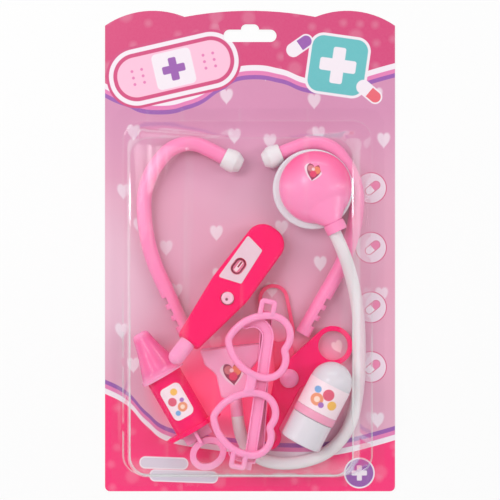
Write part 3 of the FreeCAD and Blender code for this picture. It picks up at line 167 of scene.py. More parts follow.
class Value:
    """A shader socket; arithmetic on it adds Math nodes."""

    def __init__(self, maker, socket):
        self.maker = maker
        self.socket = socket

    def maths(self, operation, *terms, clamp=False):
        """One Math node."""
        settings = {"operation": operation, "use_clamp": clamp}
        return self.maker.node("ShaderNodeMath", settings, dict(enumerate(terms)))

    def __add__(self, other):
        return self.maths("ADD", self, other)

    def __radd__(self, other):
        return self.maths("ADD", other, self)

    def __sub__(self, other):
        return self.maths("SUBTRACT", self, other)

    def __rsub__(self, other):
        return self.maths("SUBTRACT", other, self)

    def __mul__(self, other):
        return self.maths("MULTIPLY", self, other)

    def __rmul__(self, other):
        return self.maths("MULTIPLY", other, self)

    def __truediv__(self, other):
        return self.maths("DIVIDE", self, other)

    def __rtruediv__(self, other):
        return self.maths("DIVIDE", other, self)

    def __abs__(self):
        return self.maths("ABSOLUTE", self)

    def __gt__(self, other):
        return self.maths("GREATER_THAN", self, other)

    def __lt__(self, other):
        return self.maths("LESS_THAN", self, other)

    def lower(self, other):
        """The smaller of two values."""
        return self.maths("MINIMUM", self, other)

    def higher(self, other):
        """The larger of two values."""
        return self.maths("MAXIMUM", self, other)

    def held(self, low=0.0, high=1.0):
        """The value kept between two limits."""
        return self.higher(low).lower(high)

    def root(self):
        """Square root."""
        return self.maths("SQRT", self)

    def inside(self, blur):
        """Mask that is 1 where a distance is below zero, soft over a width."""
        return self.maths("SUBTRACT", 0.5, self / blur, clamp=True)

    def beside(self, output):
        """Another output of the same node."""
        return Value(self.maker, self.socket.node.outputs[output])


class Nodes:
    """A node tree under construction; every node comes from one method."""

    def __init__(self, tree):
        self.tree = tree

    def node(self, kind, settings=None, inputs=None, output=0):
        """Adds a node: its settings first, then the values or links of its sockets."""
        made = self.tree.nodes.new(kind)
        for key, value in (settings or {}).items():
            if key == "curve":
                line = made.mapping.curves[0]
                while len(line.points) < len(value):
                    line.points.new(0.5, 0.5)
                for point, place in zip(line.points, value):
                    point.location = place
                made.mapping.update()
            else:
                setattr(made, key, value)
        for key, value in (inputs or {}).items():
            self.feed(made.inputs[key], value)
        return Value(self, made.outputs[output])

    def feed(self, socket, value):
        """Links a value to a socket, or sets the socket."""
        if isinstance(value, Value):
            self.tree.links.new(value.socket, socket)
        else:
            socket.default_value = value

    def blend(self, share, first, second, end):
        """Ends the tree in a mix of two shaders."""
        both = self.node("ShaderNodeMixShader", None, {0: share, 1: first, 2: second})
        self.feed(self.tree.nodes[end].inputs["Surface"], both)


class Paint(Nodes):
    """A material under construction."""

    def __init__(self, name, **constants):
        self.material = bpy.data.materials.new(name)
        self.material.use_nodes = True
        super().__init__(self.material.node_tree)
        self.shader = self.tree.nodes["Principled BSDF"]
        self.surface = Value(self, self.shader.outputs[0])
        self.set(**constants)
        self.spot = self.node("ShaderNodeTexCoord", output="Object")

    def set(self, **sockets):
        """Feeds sockets of the surface shader."""
        for socket, value in sockets.items():
            self.feed(self.shader.inputs[socket.replace("_", " ")], value)

    def mix(self, share, first, second):
        """Colour between two colours."""
        settings = {"data_type": "RGBA", "clamp_factor": True}
        return self.node("ShaderNodeMix", settings, {0: share, 6: first, 7: second}, 2)

    def noise(self, scale, detail=2.0, spot=None):
        """Soft noise from 0 to 1, scale in cells per metre."""
        inputs = {"Vector": spot or self.spot, "Scale": scale, "Detail": detail}
        return self.node("ShaderNodeTexNoise", None, inputs)

    def cells(self, scale, randomness, output):
        """Flat cells of a Voronoi pattern, scale in cells per metre."""
        inputs = {"Vector": self.spot, "Scale": scale, "Randomness": randomness}
        return self.node("ShaderNodeTexVoronoi", {"voronoi_dimensions": "2D"}, inputs, output)

    def parts(self, vector):
        """The three components of a vector."""
        first = self.node("ShaderNodeSeparateXYZ", None, {0: vector})
        return [first.beside(i) for i in range(3)]

    def axes(self, spot):
        """The three components of a place, in millimetres."""
        return [part * 1000.0 for part in self.parts(spot)]

    def bump(self, height, strength, distance):
        """Small relief of the surface, distance in metres."""
        inputs = {"Height": height, "Strength": strength, "Distance": distance}
        self.set(Normal=self.node("ShaderNodeBump", None, inputs))


class Print(Paint):
    """A surface drawn in millimetres on the card's plane."""

    def __init__(self, name, **constants):
        super().__init__(name, **constants)
        self.x, self.y, self.z = self.axes(self.spot)
        self.ink = None

    def local(self, x, y, turn=0.0):
        """Coordinates about a point, turned by some degrees."""
        return spun(self.x - x, self.y - y, -turn)

    def circle(self, across, up, radius):
        """Distance from a circle about the zero of two coordinates."""
        return (across * across + up * up).root() - radius

    def disc(self, x, y, radius):
        """Distance from a circle about a point."""
        return self.circle(*self.local(x, y), radius)

    def bar(self, x, y, half_long, half_wide, corner, turn=0.0):
        """Distance from a rounded rectangle."""
        across, up = self.local(x, y, turn)
        over = (abs(across) - (half_long - corner)).higher(0.0)
        above = (abs(up) - (half_wide - corner)).higher(0.0)
        return self.circle(over, above, corner)

    def plus(self, x, y, arm, half, corner, turn=0.0):
        """Distance from a plus sign."""
        return self.bar(x, y, arm, half, corner, turn).lower(self.bar(x, y, half, arm, corner, turn))

    def heart(self, across, up, size):
        """About the distance from a heart: a circle whose height is lifted by the root of its side."""
        u = across / size
        v = up / size + 0.25 - (abs(u).root()) * 0.78
        return ((u * u * 1.1 + v * v).root() - 1.0) * size

    def over(self, mask, colour):
        """Lays ink over what is printed."""
        self.ink = self.mix(mask, self.ink, colour)

    def fill(self, outline, colour, blur=CRISP_EDGE):
        """Lays ink where the distance from an outline is below zero."""
        self.over(outline.inside(blur), colour)

    def coated(self, fine, rough):
        """Finishes a smooth printed film and gives its material."""
        self.set(Base_Color=self.ink, Roughness=rough + fine * 0.1)
        self.bump(fine, 0.03, 0.0002)
        return self.material


# Depth of light in the plastic: a scale in metres, and shares for red, green and blue

DEPTH = {"Subsurface_Scale": 0.003, "Subsurface_Radius": (1.0, 0.35, 0.45)}


def moulded(name, colour, deeper, rough=0.3, soft=0.12, gloss=0.5):
    """Injection-moulded plastic: faint flow clouds, satin grain, a soft glow and a thin gloss."""
    paint = Paint(name, Subsurface_Weight=soft, Coat_Weight=gloss * 0.36, Coat_Roughness=0.12,
                  Specular_IOR_Level=gloss, **DEPTH)
    cloud = paint.noise(38.0, 3.0)
    fine = paint.noise(1500.0)
    flow = paint.noise(140.0, 4.0)
    paint.set(Base_Color=paint.mix(cloud * 0.55 + flow * 0.2 - 0.1, colour, deeper),
              Roughness=rough + (fine - 0.5) * 0.14 + (cloud - 0.5) * 0.1)
    paint.bump(fine * 0.5 + flow, 0.04, 0.0004)
    return paint.material


# Mesh building

BODIES = frame["record"]["behaviour"]["bodies"]
BODY_OF = {node: body for body, nodes in BODIES.items() for node in nodes}


def link(mesh, material, node):
    """Puts a mesh into the scene as the piece that stands for a node and rides on its body."""
    piece = bpy.data.objects.new(node + ".moulded", mesh)
    bpy.context.scene.collection.objects.link(piece)
    mesh.materials.clear()
    mesh.materials.append(material)
    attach(piece, BODY_OF[node])
    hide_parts(node)
    return piece


def smooth(mesh):
    """Smooth shading with sharp edges past an angle."""
    mesh.polygons.foreach_set("use_smooth", np.ones(len(mesh.polygons), bool))
    mesh.set_sharp_from_angle(angle=math.radians(SHARP_ANGLE))


def softened(node, material, width=0.0):
    """A copy of a node with merged corners and, where a width is given, rounded edges."""
    mesh = frame["nodes"][node].data.copy()
    shape = bmesh.new()
    shape.from_mesh(mesh)
    bmesh.ops.remove_doubles(shape, verts=shape.verts, dist=1e-6)
    flat = math.radians(FLAT_ANGLE)
    bmesh.ops.dissolve_limit(shape, angle_limit=flat, verts=shape.verts, edges=shape.edges)
    shape.to_mesh(mesh)
    shape.free()
    if "custom_normal" in mesh.attributes:
        mesh.attributes.remove(mesh.attributes["custom_normal"])
    smooth(mesh)
    piece = link(mesh, material, node)
    if width:
        bevel = piece.modifiers.new("rounded edges", "BEVEL")
        bevel.width = width * MM
        bevel.segments = BEVEL_STEPS
        bevel.limit_method = "ANGLE"
        bevel.angle_limit = math.radians(BEVEL_ANGLE)
        bevel.harden_normals = True
    return piece


def read_points(mesh):
    """Array of a mesh's points, in metres."""
    points = np.empty(len(mesh.vertices) * 3)
    mesh.vertices.foreach_get("co", points)
    return points.reshape(-1, 3)


def write_points(mesh, points):
    """Puts an array of points back into a mesh."""
    mesh.vertices.foreach_set("co", points.ravel())


def grid_faces(rows, columns, ring, start):
    """Corner numbers of the quads of a grid that closes across, and along if it is a ring."""
    i, j = np.meshgrid(np.arange(rows if ring else rows - 1), np.arange(columns), indexing="ij")
    row = i * columns
    after = (i + 1) % rows * columns
    beside = (j + 1) % columns
    quads = np.stack((row + j, row + beside, after + beside, after + j), axis=-1)
    return quads.reshape(-1, 4) + start


def skinned(node, grids, material):
    """Piece of one or more grids of points; each closes across, and along if it is a ring."""
    points = []
    faces = []
    count = 0
    for grid, ring in grids:
        rows, columns, _ = grid.shape
        points.append(grid.reshape(-1, 3) * MM)
        faces.append(grid_faces(rows, columns, ring, count))
        count += rows * columns
    mesh = bpy.data.meshes.new(node + ".moulded")
    mesh.from_pydata(np.concatenate(points), [], np.concatenate(faces).tolist())
    shape = bmesh.new()
    shape.from_mesh(mesh)
    bmesh.ops.remove_doubles(shape, verts=shape.verts, dist=1e-7)
    bmesh.ops.recalc_face_normals(shape, faces=shape.faces)
    shape.to_mesh(mesh)
    shape.free()
    smooth(mesh)
    return link(mesh, material, node)


def turned(profile, origin, axis, steps):
    """Grid of a profile turned about an axis: origin + height axis + radius (cos a side + sin a other)."""
    axis = np.array(axis, float) / np.linalg.norm(axis)
    side = np.cross(axis, (0.0, 0.0, 1.0) if abs(axis[2]) < 0.9 else (1.0, 0.0, 0.0))
    side /= np.linalg.norm(side)
    other = np.cross(axis, side)
    angle = np.linspace(0.0, 2 * np.pi, steps, endpoint=False)
    radius, height = np.array(profile, float).T
    spoke = np.cos(angle)[:, None] * side + np.sin(angle)[:, None] * other
    return np.array(origin) + height[:, None, None] * axis + radius[:, None, None] * spoke, False


def swept(line, half_wide, half_high, ring, power):
    """Grid of a section along a flat line: |u / wide| ^ power + |v / high| ^ power = 1; open ends close."""
    steps = 28
    line = np.array(line, float)
    ahead = np.roll(line, -1, 0) - np.roll(line, 1, 0) if ring else np.gradient(line, axis=0)
    ahead /= np.linalg.norm(ahead, axis=1)[:, None]
    side = np.cross(ahead, (0.0, 0.0, 1.0))
    turn = np.linspace(0.0, 2 * np.pi, steps, endpoint=False)
    u = np.sign(np.cos(turn)) * np.abs(np.cos(turn)) ** (2 / power)
    v = np.sign(np.sin(turn)) * np.abs(np.sin(turn)) ** (2 / power)
    wide = np.broadcast_to(half_wide, len(line))[:, None, None]
    grid = line[:, None, :] + side[:, None, :] * u[None, :, None] * wide
    grid[:, :, 2] += v * half_high
    if not ring:
        ends = np.repeat(grid.mean(1, keepdims=True), steps, 1)
        grid = np.concatenate((ends[:1], grid, ends[-1:]))
    return grid, ring


def rounded_path(corners, radius):
    """Open flat path through corners: (1 - t)^2 start + 2 t (1 - t) corner + t^2 end at each inner one."""
    corners = np.array(corners, float)
    path = [corners[0]]
    share = np.linspace(0.0, 1.0, 10)[:, None]
    for before, corner, after in zip(corners, corners[1:], corners[2:]):
        start = corner + (before - corner) / np.linalg.norm(before - corner) * radius
        end = corner + (after - corner) / np.linalg.norm(after - corner) * radius
        path.extend((1 - share) ** 2 * start + 2 * share * (1 - share) * corner + share ** 2 * end)
    path.append(corners[-1])
    return np.array(path)


def arc(radius, height, wide, tall, begin, end, steps):
    """Profile points of an elliptical corner: (radius + wide cos a, height + tall sin a)."""
    turn = np.radians(np.linspace(begin, end, steps))
    return list(zip(radius + wide * np.cos(turn), height + tall * np.sin(turn)))


# Settings


def colour_setting(name, description, colour):
    """A colour that a user would change."""
    return bpy.props.FloatVectorProperty(
        name=name, description=description, subtype="COLOR", size=4, default=shade(*colour))


def length_setting(name, description, metres):
    """A length that a user would change."""
    return bpy.props.FloatProperty(name=name, description=description, unit="LENGTH", default=metres)


class PackSettings(bpy.types.PropertyGroup):
    """Sizes and colours that a user would change."""

    hot_pink: colour_setting("Hot pink", "Thermometer, forceps and barrel", (255, 16, 104))
    mid_pink: colour_setting("Mid pink", "Ear tubes and chest piece", (255, 146, 194))
    pale_pink: colour_setting("Pale pink", "Glasses, temples, thermometer tip and plunger", (255, 162, 206))
    white: colour_setting("White", "Bottle, cap and rim", (222, 219, 225))
    soft_white: colour_setting("Soft white", "Hose and ear tips", (234, 229, 231))
    camera_height: length_setting("Camera height", "Camera above the card's back", 0.9)
    frame_width: length_setting("Frame width", "Width of the picture at the card's back", 0.302)
    hose_diameter: length_setting("Hose diameter", "Outside of the hose", 0.0077)


def settings():
    """The scene's own settings."""
    return bpy.context.scene.toy_pack


class PACK_OT_stage(bpy.types.Operator):
    """Floor, light and camera"""
    bl_idname = "toy_pack.stage"
    bl_label = "Stage"

    def execute(self, context):
        context.scene.view_settings.view_transform = "Standard"
        self.sky(context.scene)
        self.floor()
        for lamp in LAMPS:
            self.lamp(*lamp)
        self.camera(context.scene)
        return {"FINISHED"}

    def sky(self, scene):
        """Dim light from all round, brighter to the camera and in reflections."""
        world = bpy.data.worlds.new("studio")
        world.use_nodes = True
        scene.world = world
        sky = Nodes(world.node_tree)
        background = sky.tree.nodes["Background"]
        sky.feed(background.inputs["Color"], (1.0, 0.985, 0.985, 1.0))
        sky.feed(background.inputs["Strength"], 0.45)
        bright = sky.node("ShaderNodeBackground", None, {"Strength": 0.85})
        camera_ray = sky.node("ShaderNodeLightPath", None, None, "Is Camera Ray")
        seen = camera_ray.higher(camera_ray.beside("Is Glossy Ray"))
        sky.blend(seen, Value(sky, background.outputs[0]), bright, "World Output")

    def floor(self):
        """Pale floor that shows white to the camera and keeps a faint shadow."""
        mesh = bpy.data.meshes.new("floor")
        reach = 3.0
        level = -0.0004
        corners = [(-reach, -reach, level), (reach, -reach, level),
                   (reach, reach, level), (-reach, reach, level)]
        mesh.from_pydata(corners, [], [(0, 1, 2, 3)])
        floor = bpy.data.objects.new("floor", mesh)
        bpy.context.scene.collection.objects.link(floor)
        paint = Paint("pale_floor", Roughness=0.9)
        speckle = paint.noise(60.0)
        paint.set(Base_Color=paint.mix(speckle * 0.2, (0.86, 0.86, 0.86, 1.0), (0.82, 0.82, 0.82, 1.0)))
        glow = paint.node("ShaderNodeEmission", None, {"Color": (1.0, 1.0, 1.0, 1.0), "Strength": 1.0})
        camera_ray = paint.node("ShaderNodeLightPath", None, None, "Is Camera Ray")
        seen = camera_ray + camera_ray.beside("Is Glossy Ray") + camera_ray.beside("Is Transmission Ray")
        paint.blend(seen * 0.8, paint.surface, glow, "Material Output")
        mesh.materials.append(paint.material)

    def lamp(self, name, place, size, power, mirrored):
        """Soft area lamp that faces the pack."""
        data = bpy.data.lights.new(name, "AREA")
        data.shape = "RECTANGLE"
        data.size, data.size_y = size
        data.energy = power
        lamp = bpy.data.objects.new(name, data)
        lamp.location = place
        aim = -lamp.location
        lamp.rotation_euler = aim.to_track_quat("-Z", "Y").to_euler()
        lamp.visible_glossy = mirrored
        bpy.context.scene.collection.objects.link(lamp)

    def camera(self, scene):
        """Camera straight above the card."""
        chosen = settings()
        data = bpy.data.cameras.new("camera")
        data.sensor_width = 36.0
        data.lens = data.sensor_width * chosen.camera_height / chosen.frame_width
        camera = bpy.data.objects.new("camera", data)
        camera.location = (0.0, 0.0006, chosen.camera_height)
        scene.collection.objects.link(camera)
        scene.camera = camera


class PACK_OT_card(bpy.types.Operator):
    """Printed backing card"""
    bl_idname = "toy_pack.card"
    bl_label = "Backing card"

    def execute(self, context):
        card = frame["nodes"]["backing_card"]
        card.data.materials.clear()
        card.data.materials.append(card_print())
        return {"FINISHED"}


# Upper edge of the header's white band and lower edge of the footer's: places across and up the card

HEADER_WAVE = ((-88.0, 101.5), (-74.0, 95.5), (-56.0, 91.0), (-38.0, 94.0),
               (-16.0, 106.0), (1.0, 112.2), (18.0, 110.0), (40.0, 103.5),
               (56.0, 103.5), (72.0, 109.0), (88.0, 113.5))
FOOTER_WAVE = ((-88.0, -86.0), (-76.0, -92.0), (-62.0, -106.0), (-48.0, -115.5),
               (-30.0, -119.0), (-6.0, -122.0), (20.0, -124.5), (44.0, -124.0),
               (60.0, -121.5), (76.0, -117.5), (88.0, -114.0))
WAVE_SPAN = 176.0

# Inks, and colours of painted light and shade

HOT_INK = shade(206, 64, 120)
DEEP_INK = shade(212, 52, 112)
FOOT_INK = shade(252, 18, 112)
FOOT_DEEP_INK = shade(240, 34, 116)
WHITE_INK = shade(240, 230, 238)
PURPLE_INK = shade(150, 84, 170)
MID_INK = shade(226, 122, 178)
LILAC_INK = shade(222, 172, 196)
ROSE_INK = shade(226, 158, 184)
# Colour of the painted shade over the top of the card's middle field
PAINTED_SHADE_LILAC = shade(204, 128, 170)
# Colour of the painted light over the left of the card's middle field
PAINTED_LIGHT_LILAC = shade(234, 204, 218)
# Pink of the painted light through the toys, also the colour the card glows with
PAINTED_GLOW_PINK = shade(255, 84, 140)
TEAL_INK = shade(96, 186, 190)
LINE_INK = shade(214, 84, 130)
BLACK = (0.0, 0.0, 0.0, 1.0)


def wave(sheet, points):
    """Height of a printed wave over the card, read from a smooth curve."""
    low = min(up for _, up in points)
    rise = max(up for _, up in points) - low
    curve = [((across + WAVE_SPAN / 2) / WAVE_SPAN, (up - low) / rise) for across, up in points]
    line = sheet.node("ShaderNodeFloatCurve", {"curve": curve}, {"Value": sheet.x / WAVE_SPAN + 0.5})
    return line * rise + low


def card_print():
    """Coated card: pink header and footer with wavy bands, a lilac middle with hearts, plain signs, painted
    shade and light on the middle and a glowing pool of painted pink light.
    """
    sheet = Print("printed_card", Coat_Weight=0.25, Coat_Roughness=0.15)
    cloud = sheet.noise(16.0)
    sheet.ink = sheet.mix(cloud * 1.3 - 0.15, LILAC_INK, ROSE_INK)
    # Painted shade: the middle field darker towards its top
    upper = ((sheet.y - 30.0) / 54.0).held()
    sheet.over(upper * 0.75, PAINTED_SHADE_LILAC)
    # Painted light: the middle field lighter towards the left
    left = ((-44.0 - sheet.x) / 30.0).held() * (abs(sheet.y + 15.0) - 40.0).inside(40.0)
    sheet.over(left * 0.5, PAINTED_LIGHT_LILAC)
    scattered_hearts(sheet)
    glow_light_mask = glow(sheet, cloud)
    header = sheet.y - wave(sheet, HEADER_WAVE)
    footer = wave(sheet, FOOTER_WAVE) - sheet.y
    for edge, field, deeper in ((header, HOT_INK, DEEP_INK), (footer, FOOT_INK, FOOT_DEEP_INK)):
        for reach, ink in ((8.6, PURPLE_INK), (6.0, MID_INK), (3.4, WHITE_INK)):
            sheet.fill(-reach - edge, ink)
        sheet.fill(0.0 - edge, sheet.mix(cloud * 1.2 - 0.1, field, deeper))
    bokeh(sheet, header.higher(footer))
    bandage(sheet)
    badge(sheet)
    side_signs(sheet)
    footer_signs(sheet)
    fibre = sheet.noise(900.0, 4.0)
    normal = sheet.node("ShaderNodeNewGeometry", None, None, "Normal")
    front = sheet.parts(normal)[2] > 0.5
    paper = sheet.mix(fibre, shade(214, 208, 204), shade(236, 232, 228))
    # The card glows with the painted pink light inside its mask, though it is no lamp
    sheet.set(Base_Color=sheet.mix(front, paper, sheet.mix(fibre * 0.05, sheet.ink, WHITE_INK)),
              Emission_Color=sheet.mix(glow_light_mask * front, BLACK, PAINTED_GLOW_PINK),
              Emission_Strength=0.3, Roughness=0.42 + (fibre - 0.5) * 0.2)
    sheet.bump(fibre, 0.05, 0.0003)
    return sheet.material


def scattered_hearts(sheet):
    """Soft white hearts, one to a cell, some cells left bare."""
    cells = sheet.cells(34.0, 0.75, "Position")
    chance = sheet.node("ShaderNodeSeparateColor", None, {0: cells.beside("Color")})
    strength = chance.beside(1)
    middle_x, middle_y, _ = sheet.axes(cells)
    heart = sheet.heart(sheet.x - middle_x, sheet.y - middle_y, 4.0)
    sheet.over(heart.inside(1.2) * (chance > 0.35) * (strength * 0.4 + 0.55), WHITE_INK)


def glow(sheet, cloud):
    """Painted pink light in the lower middle, standing for light through the toys on the card; gives its
    mask.
    """
    glow_light_mask = 0.0
    clouds = ((2.0, -84.0, 32.0, 0.95), (-32.0, -82.0, 20.0, 0.9), (36.0, -78.0, 17.0, 0.85))
    for x, y, radius, share in clouds:
        spread = sheet.disc(x, y, radius) + (cloud - 0.5) * 14.0
        mask = spread.inside(26.0) * share
        sheet.over(mask, PAINTED_GLOW_PINK)
        glow_light_mask = mask.higher(glow_light_mask)
    blot = sheet.heart(*sheet.local(53.0, -58.0, 25.0), 3.4)
    sheet.fill(blot, shade(250, 214, 222), 1.0)
    return glow_light_mask


def bokeh(sheet, region):
    """Blurred dots of light in the pink fields."""
    for scale, radius, share in ((58.0, 5.0, 0.1), (100.0, 2.6, 0.11)):
        cells = sheet.cells(scale, 1.0, "Distance")
        chance = sheet.node("ShaderNodeSeparateColor", None, {0: cells.beside("Color")})
        dot = cells * (1000.0 / scale) - radius * 0.8
        sheet.over(dot.inside(2.6) * (chance > 0.55) * (region > 0.0) * share, WHITE_INK)


def bandage(sheet):
    """Adhesive bandage in the header: an outline, a strip with holes and a pad with a plus sign."""
    place = (-46.0, 110.0)
    turn = 13.0
    strip = sheet.bar(*place, 37.0, 14.5, 14.0, turn)
    for grow, ink in ((4.2, HOT_INK), (2.6, WHITE_INK), (0.0, HOT_INK), (-2.4, shade(246, 190, 214))):
        sheet.fill(strip - grow, ink, SOFT_EDGE)
    sheet.fill(sheet.bar(*place, 12.0, 11.0, 3.0, turn), WHITE_INK, SOFT_EDGE)
    sheet.fill(sheet.plus(*place, 7.0, 2.4, 1.0, turn), PURPLE_INK, SOFT_EDGE)
    across, up = sheet.local(*place, turn)
    for column in (-25.0, -19.0, 19.0, 25.0):
        for row in (-4.0, 0.0, 4.0):
            sheet.fill(sheet.circle(across - column, up - row, 0.9), MID_INK, SOFT_EDGE)


def badge(sheet):
    """Square badge with a plus sign in the header, and a capsule on either side of it."""
    place = (53.0, 112.0)
    turn = -8.0
    square = sheet.bar(*place, 17.0, 17.0, 7.0, turn)
    sheet.fill(square - 1.6, WHITE_INK, SOFT_EDGE)
    sheet.fill(square, TEAL_INK, SOFT_EDGE)
    sheet.fill(sheet.plus(*place, 11.0, 3.8, 1.4, turn), WHITE_INK, SOFT_EDGE)
    for x, y, lean, ink in ((30.0, 124.0, 35.0, PURPLE_INK), (72.0, 96.0, -40.0, shade(230, 96, 110))):
        capsule = sheet.bar(x, y, 8.0, 3.4, 3.3, lean)
        along, _ = sheet.local(x, y, lean)
        sheet.fill(capsule - 0.9, WHITE_INK, SOFT_EDGE)
        sheet.over(capsule.inside(SOFT_EDGE) * (along > 0.0), ink)


def side_signs(sheet):
    """Four pale discs down the right-hand side, each with a capsule."""
    lean = 40.0
    for y in (38.0, 2.0, -34.0, -70.0):
        ring = sheet.disc(73.0, y, 9.0)
        sheet.fill(ring - 0.6, LINE_INK)
        sheet.fill(ring, shade(236, 216, 228))
        capsule = sheet.bar(74.0, y, 4.8, 2.1, 2.0, lean)
        along, _ = sheet.local(74.0, y, lean)
        sheet.fill(capsule - 0.5, LINE_INK)
        sheet.fill(capsule, WHITE_INK)
        sheet.over(capsule.inside(CRISP_EDGE) * (along > 0.0), shade(232, 130, 172))


def footer_signs(sheet):
    """Disc with a plus sign and two bare plaques in the footer."""
    place = (66.0, -134.0)
    disc = sheet.disc(*place, 8.4)
    sheet.fill(disc - 0.9, WHITE_INK)
    sheet.fill(disc, PURPLE_INK)
    sheet.fill(sheet.plus(*place, 4.6, 1.5, 0.6), WHITE_INK)
    for x, y, half in ((-52.0, -128.0, 14.0), (-40.0, -136.0, 20.0)):
        plaque = sheet.bar(x, y, half, 2.9, 2.8, -2.0)
        sheet.fill(plaque - 0.8, WHITE_INK)
        sheet.fill(plaque, shade(216, 208, 222))


class PACK_OT_blister(bpy.types.Operator):
    """Clear blister shell"""
    bl_idname = "toy_pack.blister"
    bl_label = "Blister"

    def execute(self, context):
        shell = softened("blister", clear_sheet()).data
        points = read_points(shell)
        points[points[:, 2] < CARD_TOP + 1e-5, 2] += FLANGE_LIFT * MM
        write_points(shell, points)
        return {"FINISHED"}


def clear_sheet():
    """Clear formed sheet: see-through, with faint haze, drawn streaks, broken painted highlights along its
    edges and a painted reflection low on the roof.
    """
    paint = Print("clear_sheet", Metallic=1.0)
    ripple = paint.noise(45.0)
    fine = paint.noise(420.0, 3.0)
    paint.set(Base_Color=paint.mix(fine * 0.1, (0.96, 0.96, 0.97, 1.0), (0.9, 0.9, 0.92, 1.0)),
              Roughness=0.05 + fine * 0.05)
    paint.bump(ripple, 0.06, 0.002)
    clear = paint.node("ShaderNodeBsdfTransparent", None, {"Color": (0.995, 0.99, 0.994, 1.0)})
    behind = paint.node("ShaderNodeNewGeometry", None, None, "Backfacing")
    bend = 1.45
    gloss = paint.node("ShaderNodeFresnel", None, {"IOR": bend - behind * (bend - 1 / bend)})
    shadow = paint.node("ShaderNodeLightPath", None, None, "Is Shadow Ray")
    low_lit = ((-16.0 - paint.y) / 34.0).held(0.14)
    broken = (paint.noise(55.0, 3.0) * 2.4 - 0.5).held(0.3) * low_lit
    on_roof = paint.z > BLISTER_TOP - 5.0
    roof = paint.bar(*ROOF_EDGE)
    foot = paint.bar(*FOOT_EDGE)
    # Painted highlights: more mirror along the roof's edge and the foot, broken by noise and fading up the
    # card
    roof_highlight = (abs(roof) - 0.45).inside(0.4) * on_roof * 0.8
    foot_highlight = (abs(foot) - 0.5).inside(0.6) * (paint.z < 4.0) * 0.55
    stretch = {0: paint.spot, 1: (1.0, 0.05, 0.3)}
    drawn = paint.node("ShaderNodeVectorMath", {"operation": "MULTIPLY"}, stretch)
    streak = (paint.noise(150.0, 2.0, drawn) * 4.0 - 2.35).held()
    # Painted reflection: more mirror towards the low end of the roof
    low_roof_reflection = ((-119.0 - paint.y) / 8.0).held() * on_roof
    mirror = (gloss * 1.1 - 0.03).held(0.0, 0.2) + streak * 0.1 + low_roof_reflection * 0.14
    share = (mirror + roof_highlight.higher(foot_highlight) * broken) * (1.0 - shadow) + fine * 0.006
    paint.blend(share, clear, paint.surface, "Material Output")
    return paint.material


class PACK_OT_stethoscope(bpy.types.Operator):
    """Ear tubes, ear tips, chest piece, hose and connector"""
    bl_idname = "toy_pack.stethoscope"
    bl_label = "Stethoscope"

    def execute(self, context):
        chosen = settings()
        tube = moulded("ear_tube_pink", chosen.mid_pink, shade(254, 124, 178))
        pale = moulded("connector_pink", shade(255, 180, 216), shade(254, 162, 204))
        white = moulded("rim_white", chosen.white, shade(226, 221, 226), soft=0.05)
        tip = moulded("ear_tip_white", chosen.soft_white, shade(232, 227, 229), 0.4, 0.1)
        softened("ear_tube_left", tube, 0.35)
        softened("ear_tube_right", tube, 0.35)
        for side in ("left", "right"):
            self.ear_tip(side, tip)
        self.dome(dome_pink(chosen.mid_pink))
        self.rim(white)
        softened("chest_diaphragm", white, 0.2)
        softened("chest_sticker", heart_film("chest_sticker_film", *CHEST_STICKER))
        softened("hose_yoke", pale, 0.5)
        softened("yoke_sticker", heart_film("yoke_sticker_film", *YOKE_STICKER))
        self.hose(chosen)
        return {"FINISHED"}

    def ear_tip(self, side, material):
        """Soft mushroom tip of an ear tube: a profile of foot, skirt and blunt dome, turned."""
        x, y = EAR_END
        out_x, out_y = EAR_OUT
        rise = math.tan(math.radians(EAR_LEAN))
        z = EAR_FOOT_Z + (y - EAR_FOOT_Y) * rise
        out_z = out_y * rise
        if side == "right":
            pivot_x, pivot_y = EAR_RIGHT_PIVOT
            across, up = spun(2 * EAR_MIRROR_X - x - pivot_x, y - pivot_y, EAR_RIGHT_TURN)
            x = pivot_x + across
            y = pivot_y + up
            out_x, out_y = spun(-out_x, out_y, EAR_RIGHT_TURN)
        profile = [(3.15, 6.0), (3.15, 0.0), (5.6, 0.0)] + arc(5.6, 0.5, 0.5, 0.5, -90, 0, 6)
        profile += [(6.9, 5.2), (6.75, 6.6)] + arc(5.5, 7.4, 1.1, 1.1, 10, 50, 6)
        profile += arc(3.3, 10.6, 1.2, 1.2, 40, 90, 6) + [(0.0, 12.1)]
        skinned("ear_tip_" + side, [turned(profile, (x, y, z), (out_x, out_y, out_z), 96)], material)

    def dome(self, material):
        """Drawn-out dome, a little smaller and to the upper right, so that more of the rim shows."""
        mesh = softened("chest_dome", material, 0.5).data
        points = read_points(mesh)
        pivot = np.array(DOME_PIVOT) * MM
        points[:, :2] = pivot + (points[:, :2] - pivot) * DOME_SHRINK + np.array(DOME_SHIFT) * MM
        write_points(mesh, points)

    def rim(self, material):
        """Rim ring of the chest piece: a profile with a soft outer edge, turned about the upright axis."""
        profile = [(20.9, 1.35), (20.9, 0.0)] + arc(22.5, 1.4, 1.35, 1.4, -90, 0, 8)
        profile += arc(22.3, 2.2, 1.55, 1.4, 0, 90, 10) + [(19.1, 3.58), (19.1, 1.35), (20.9, 1.35)]
        skinned("chest_rim", [turned(profile, (*CHEST, CHEST_RIM_Z), (0, 0, 1), 160)], material)

    def hose(self, chosen):
        """Soft hose on one smooth curve guided by the route's control points."""
        curve = bpy.data.curves.new("stethoscope_tube", "CURVE")
        curve.dimensions = "3D"
        line = curve.splines.new("NURBS")
        line.points.add(len(HOSE_ROUTE) - 1)
        for point, (x, y, z) in zip(line.points, HOSE_ROUTE):
            point.co = (x * MM, y * MM, z * MM, 1.0)
        line.order_u = 3
        line.use_endpoint_u = True
        line.resolution_u = 24
        line.use_smooth = True
        curve.bevel_depth = chosen.hose_diameter / 2
        curve.bevel_resolution = 8
        curve.use_fill_caps = True
        hose = bpy.data.objects.new("stethoscope_tube", curve)
        bpy.context.scene.collection.objects.link(hose)
        curve.materials.append(moulded("hose_vinyl", chosen.soft_white, shade(232, 224, 227), 0.36, 0.15))
        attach(hose, "pack")
        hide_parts("stethoscope_hose")


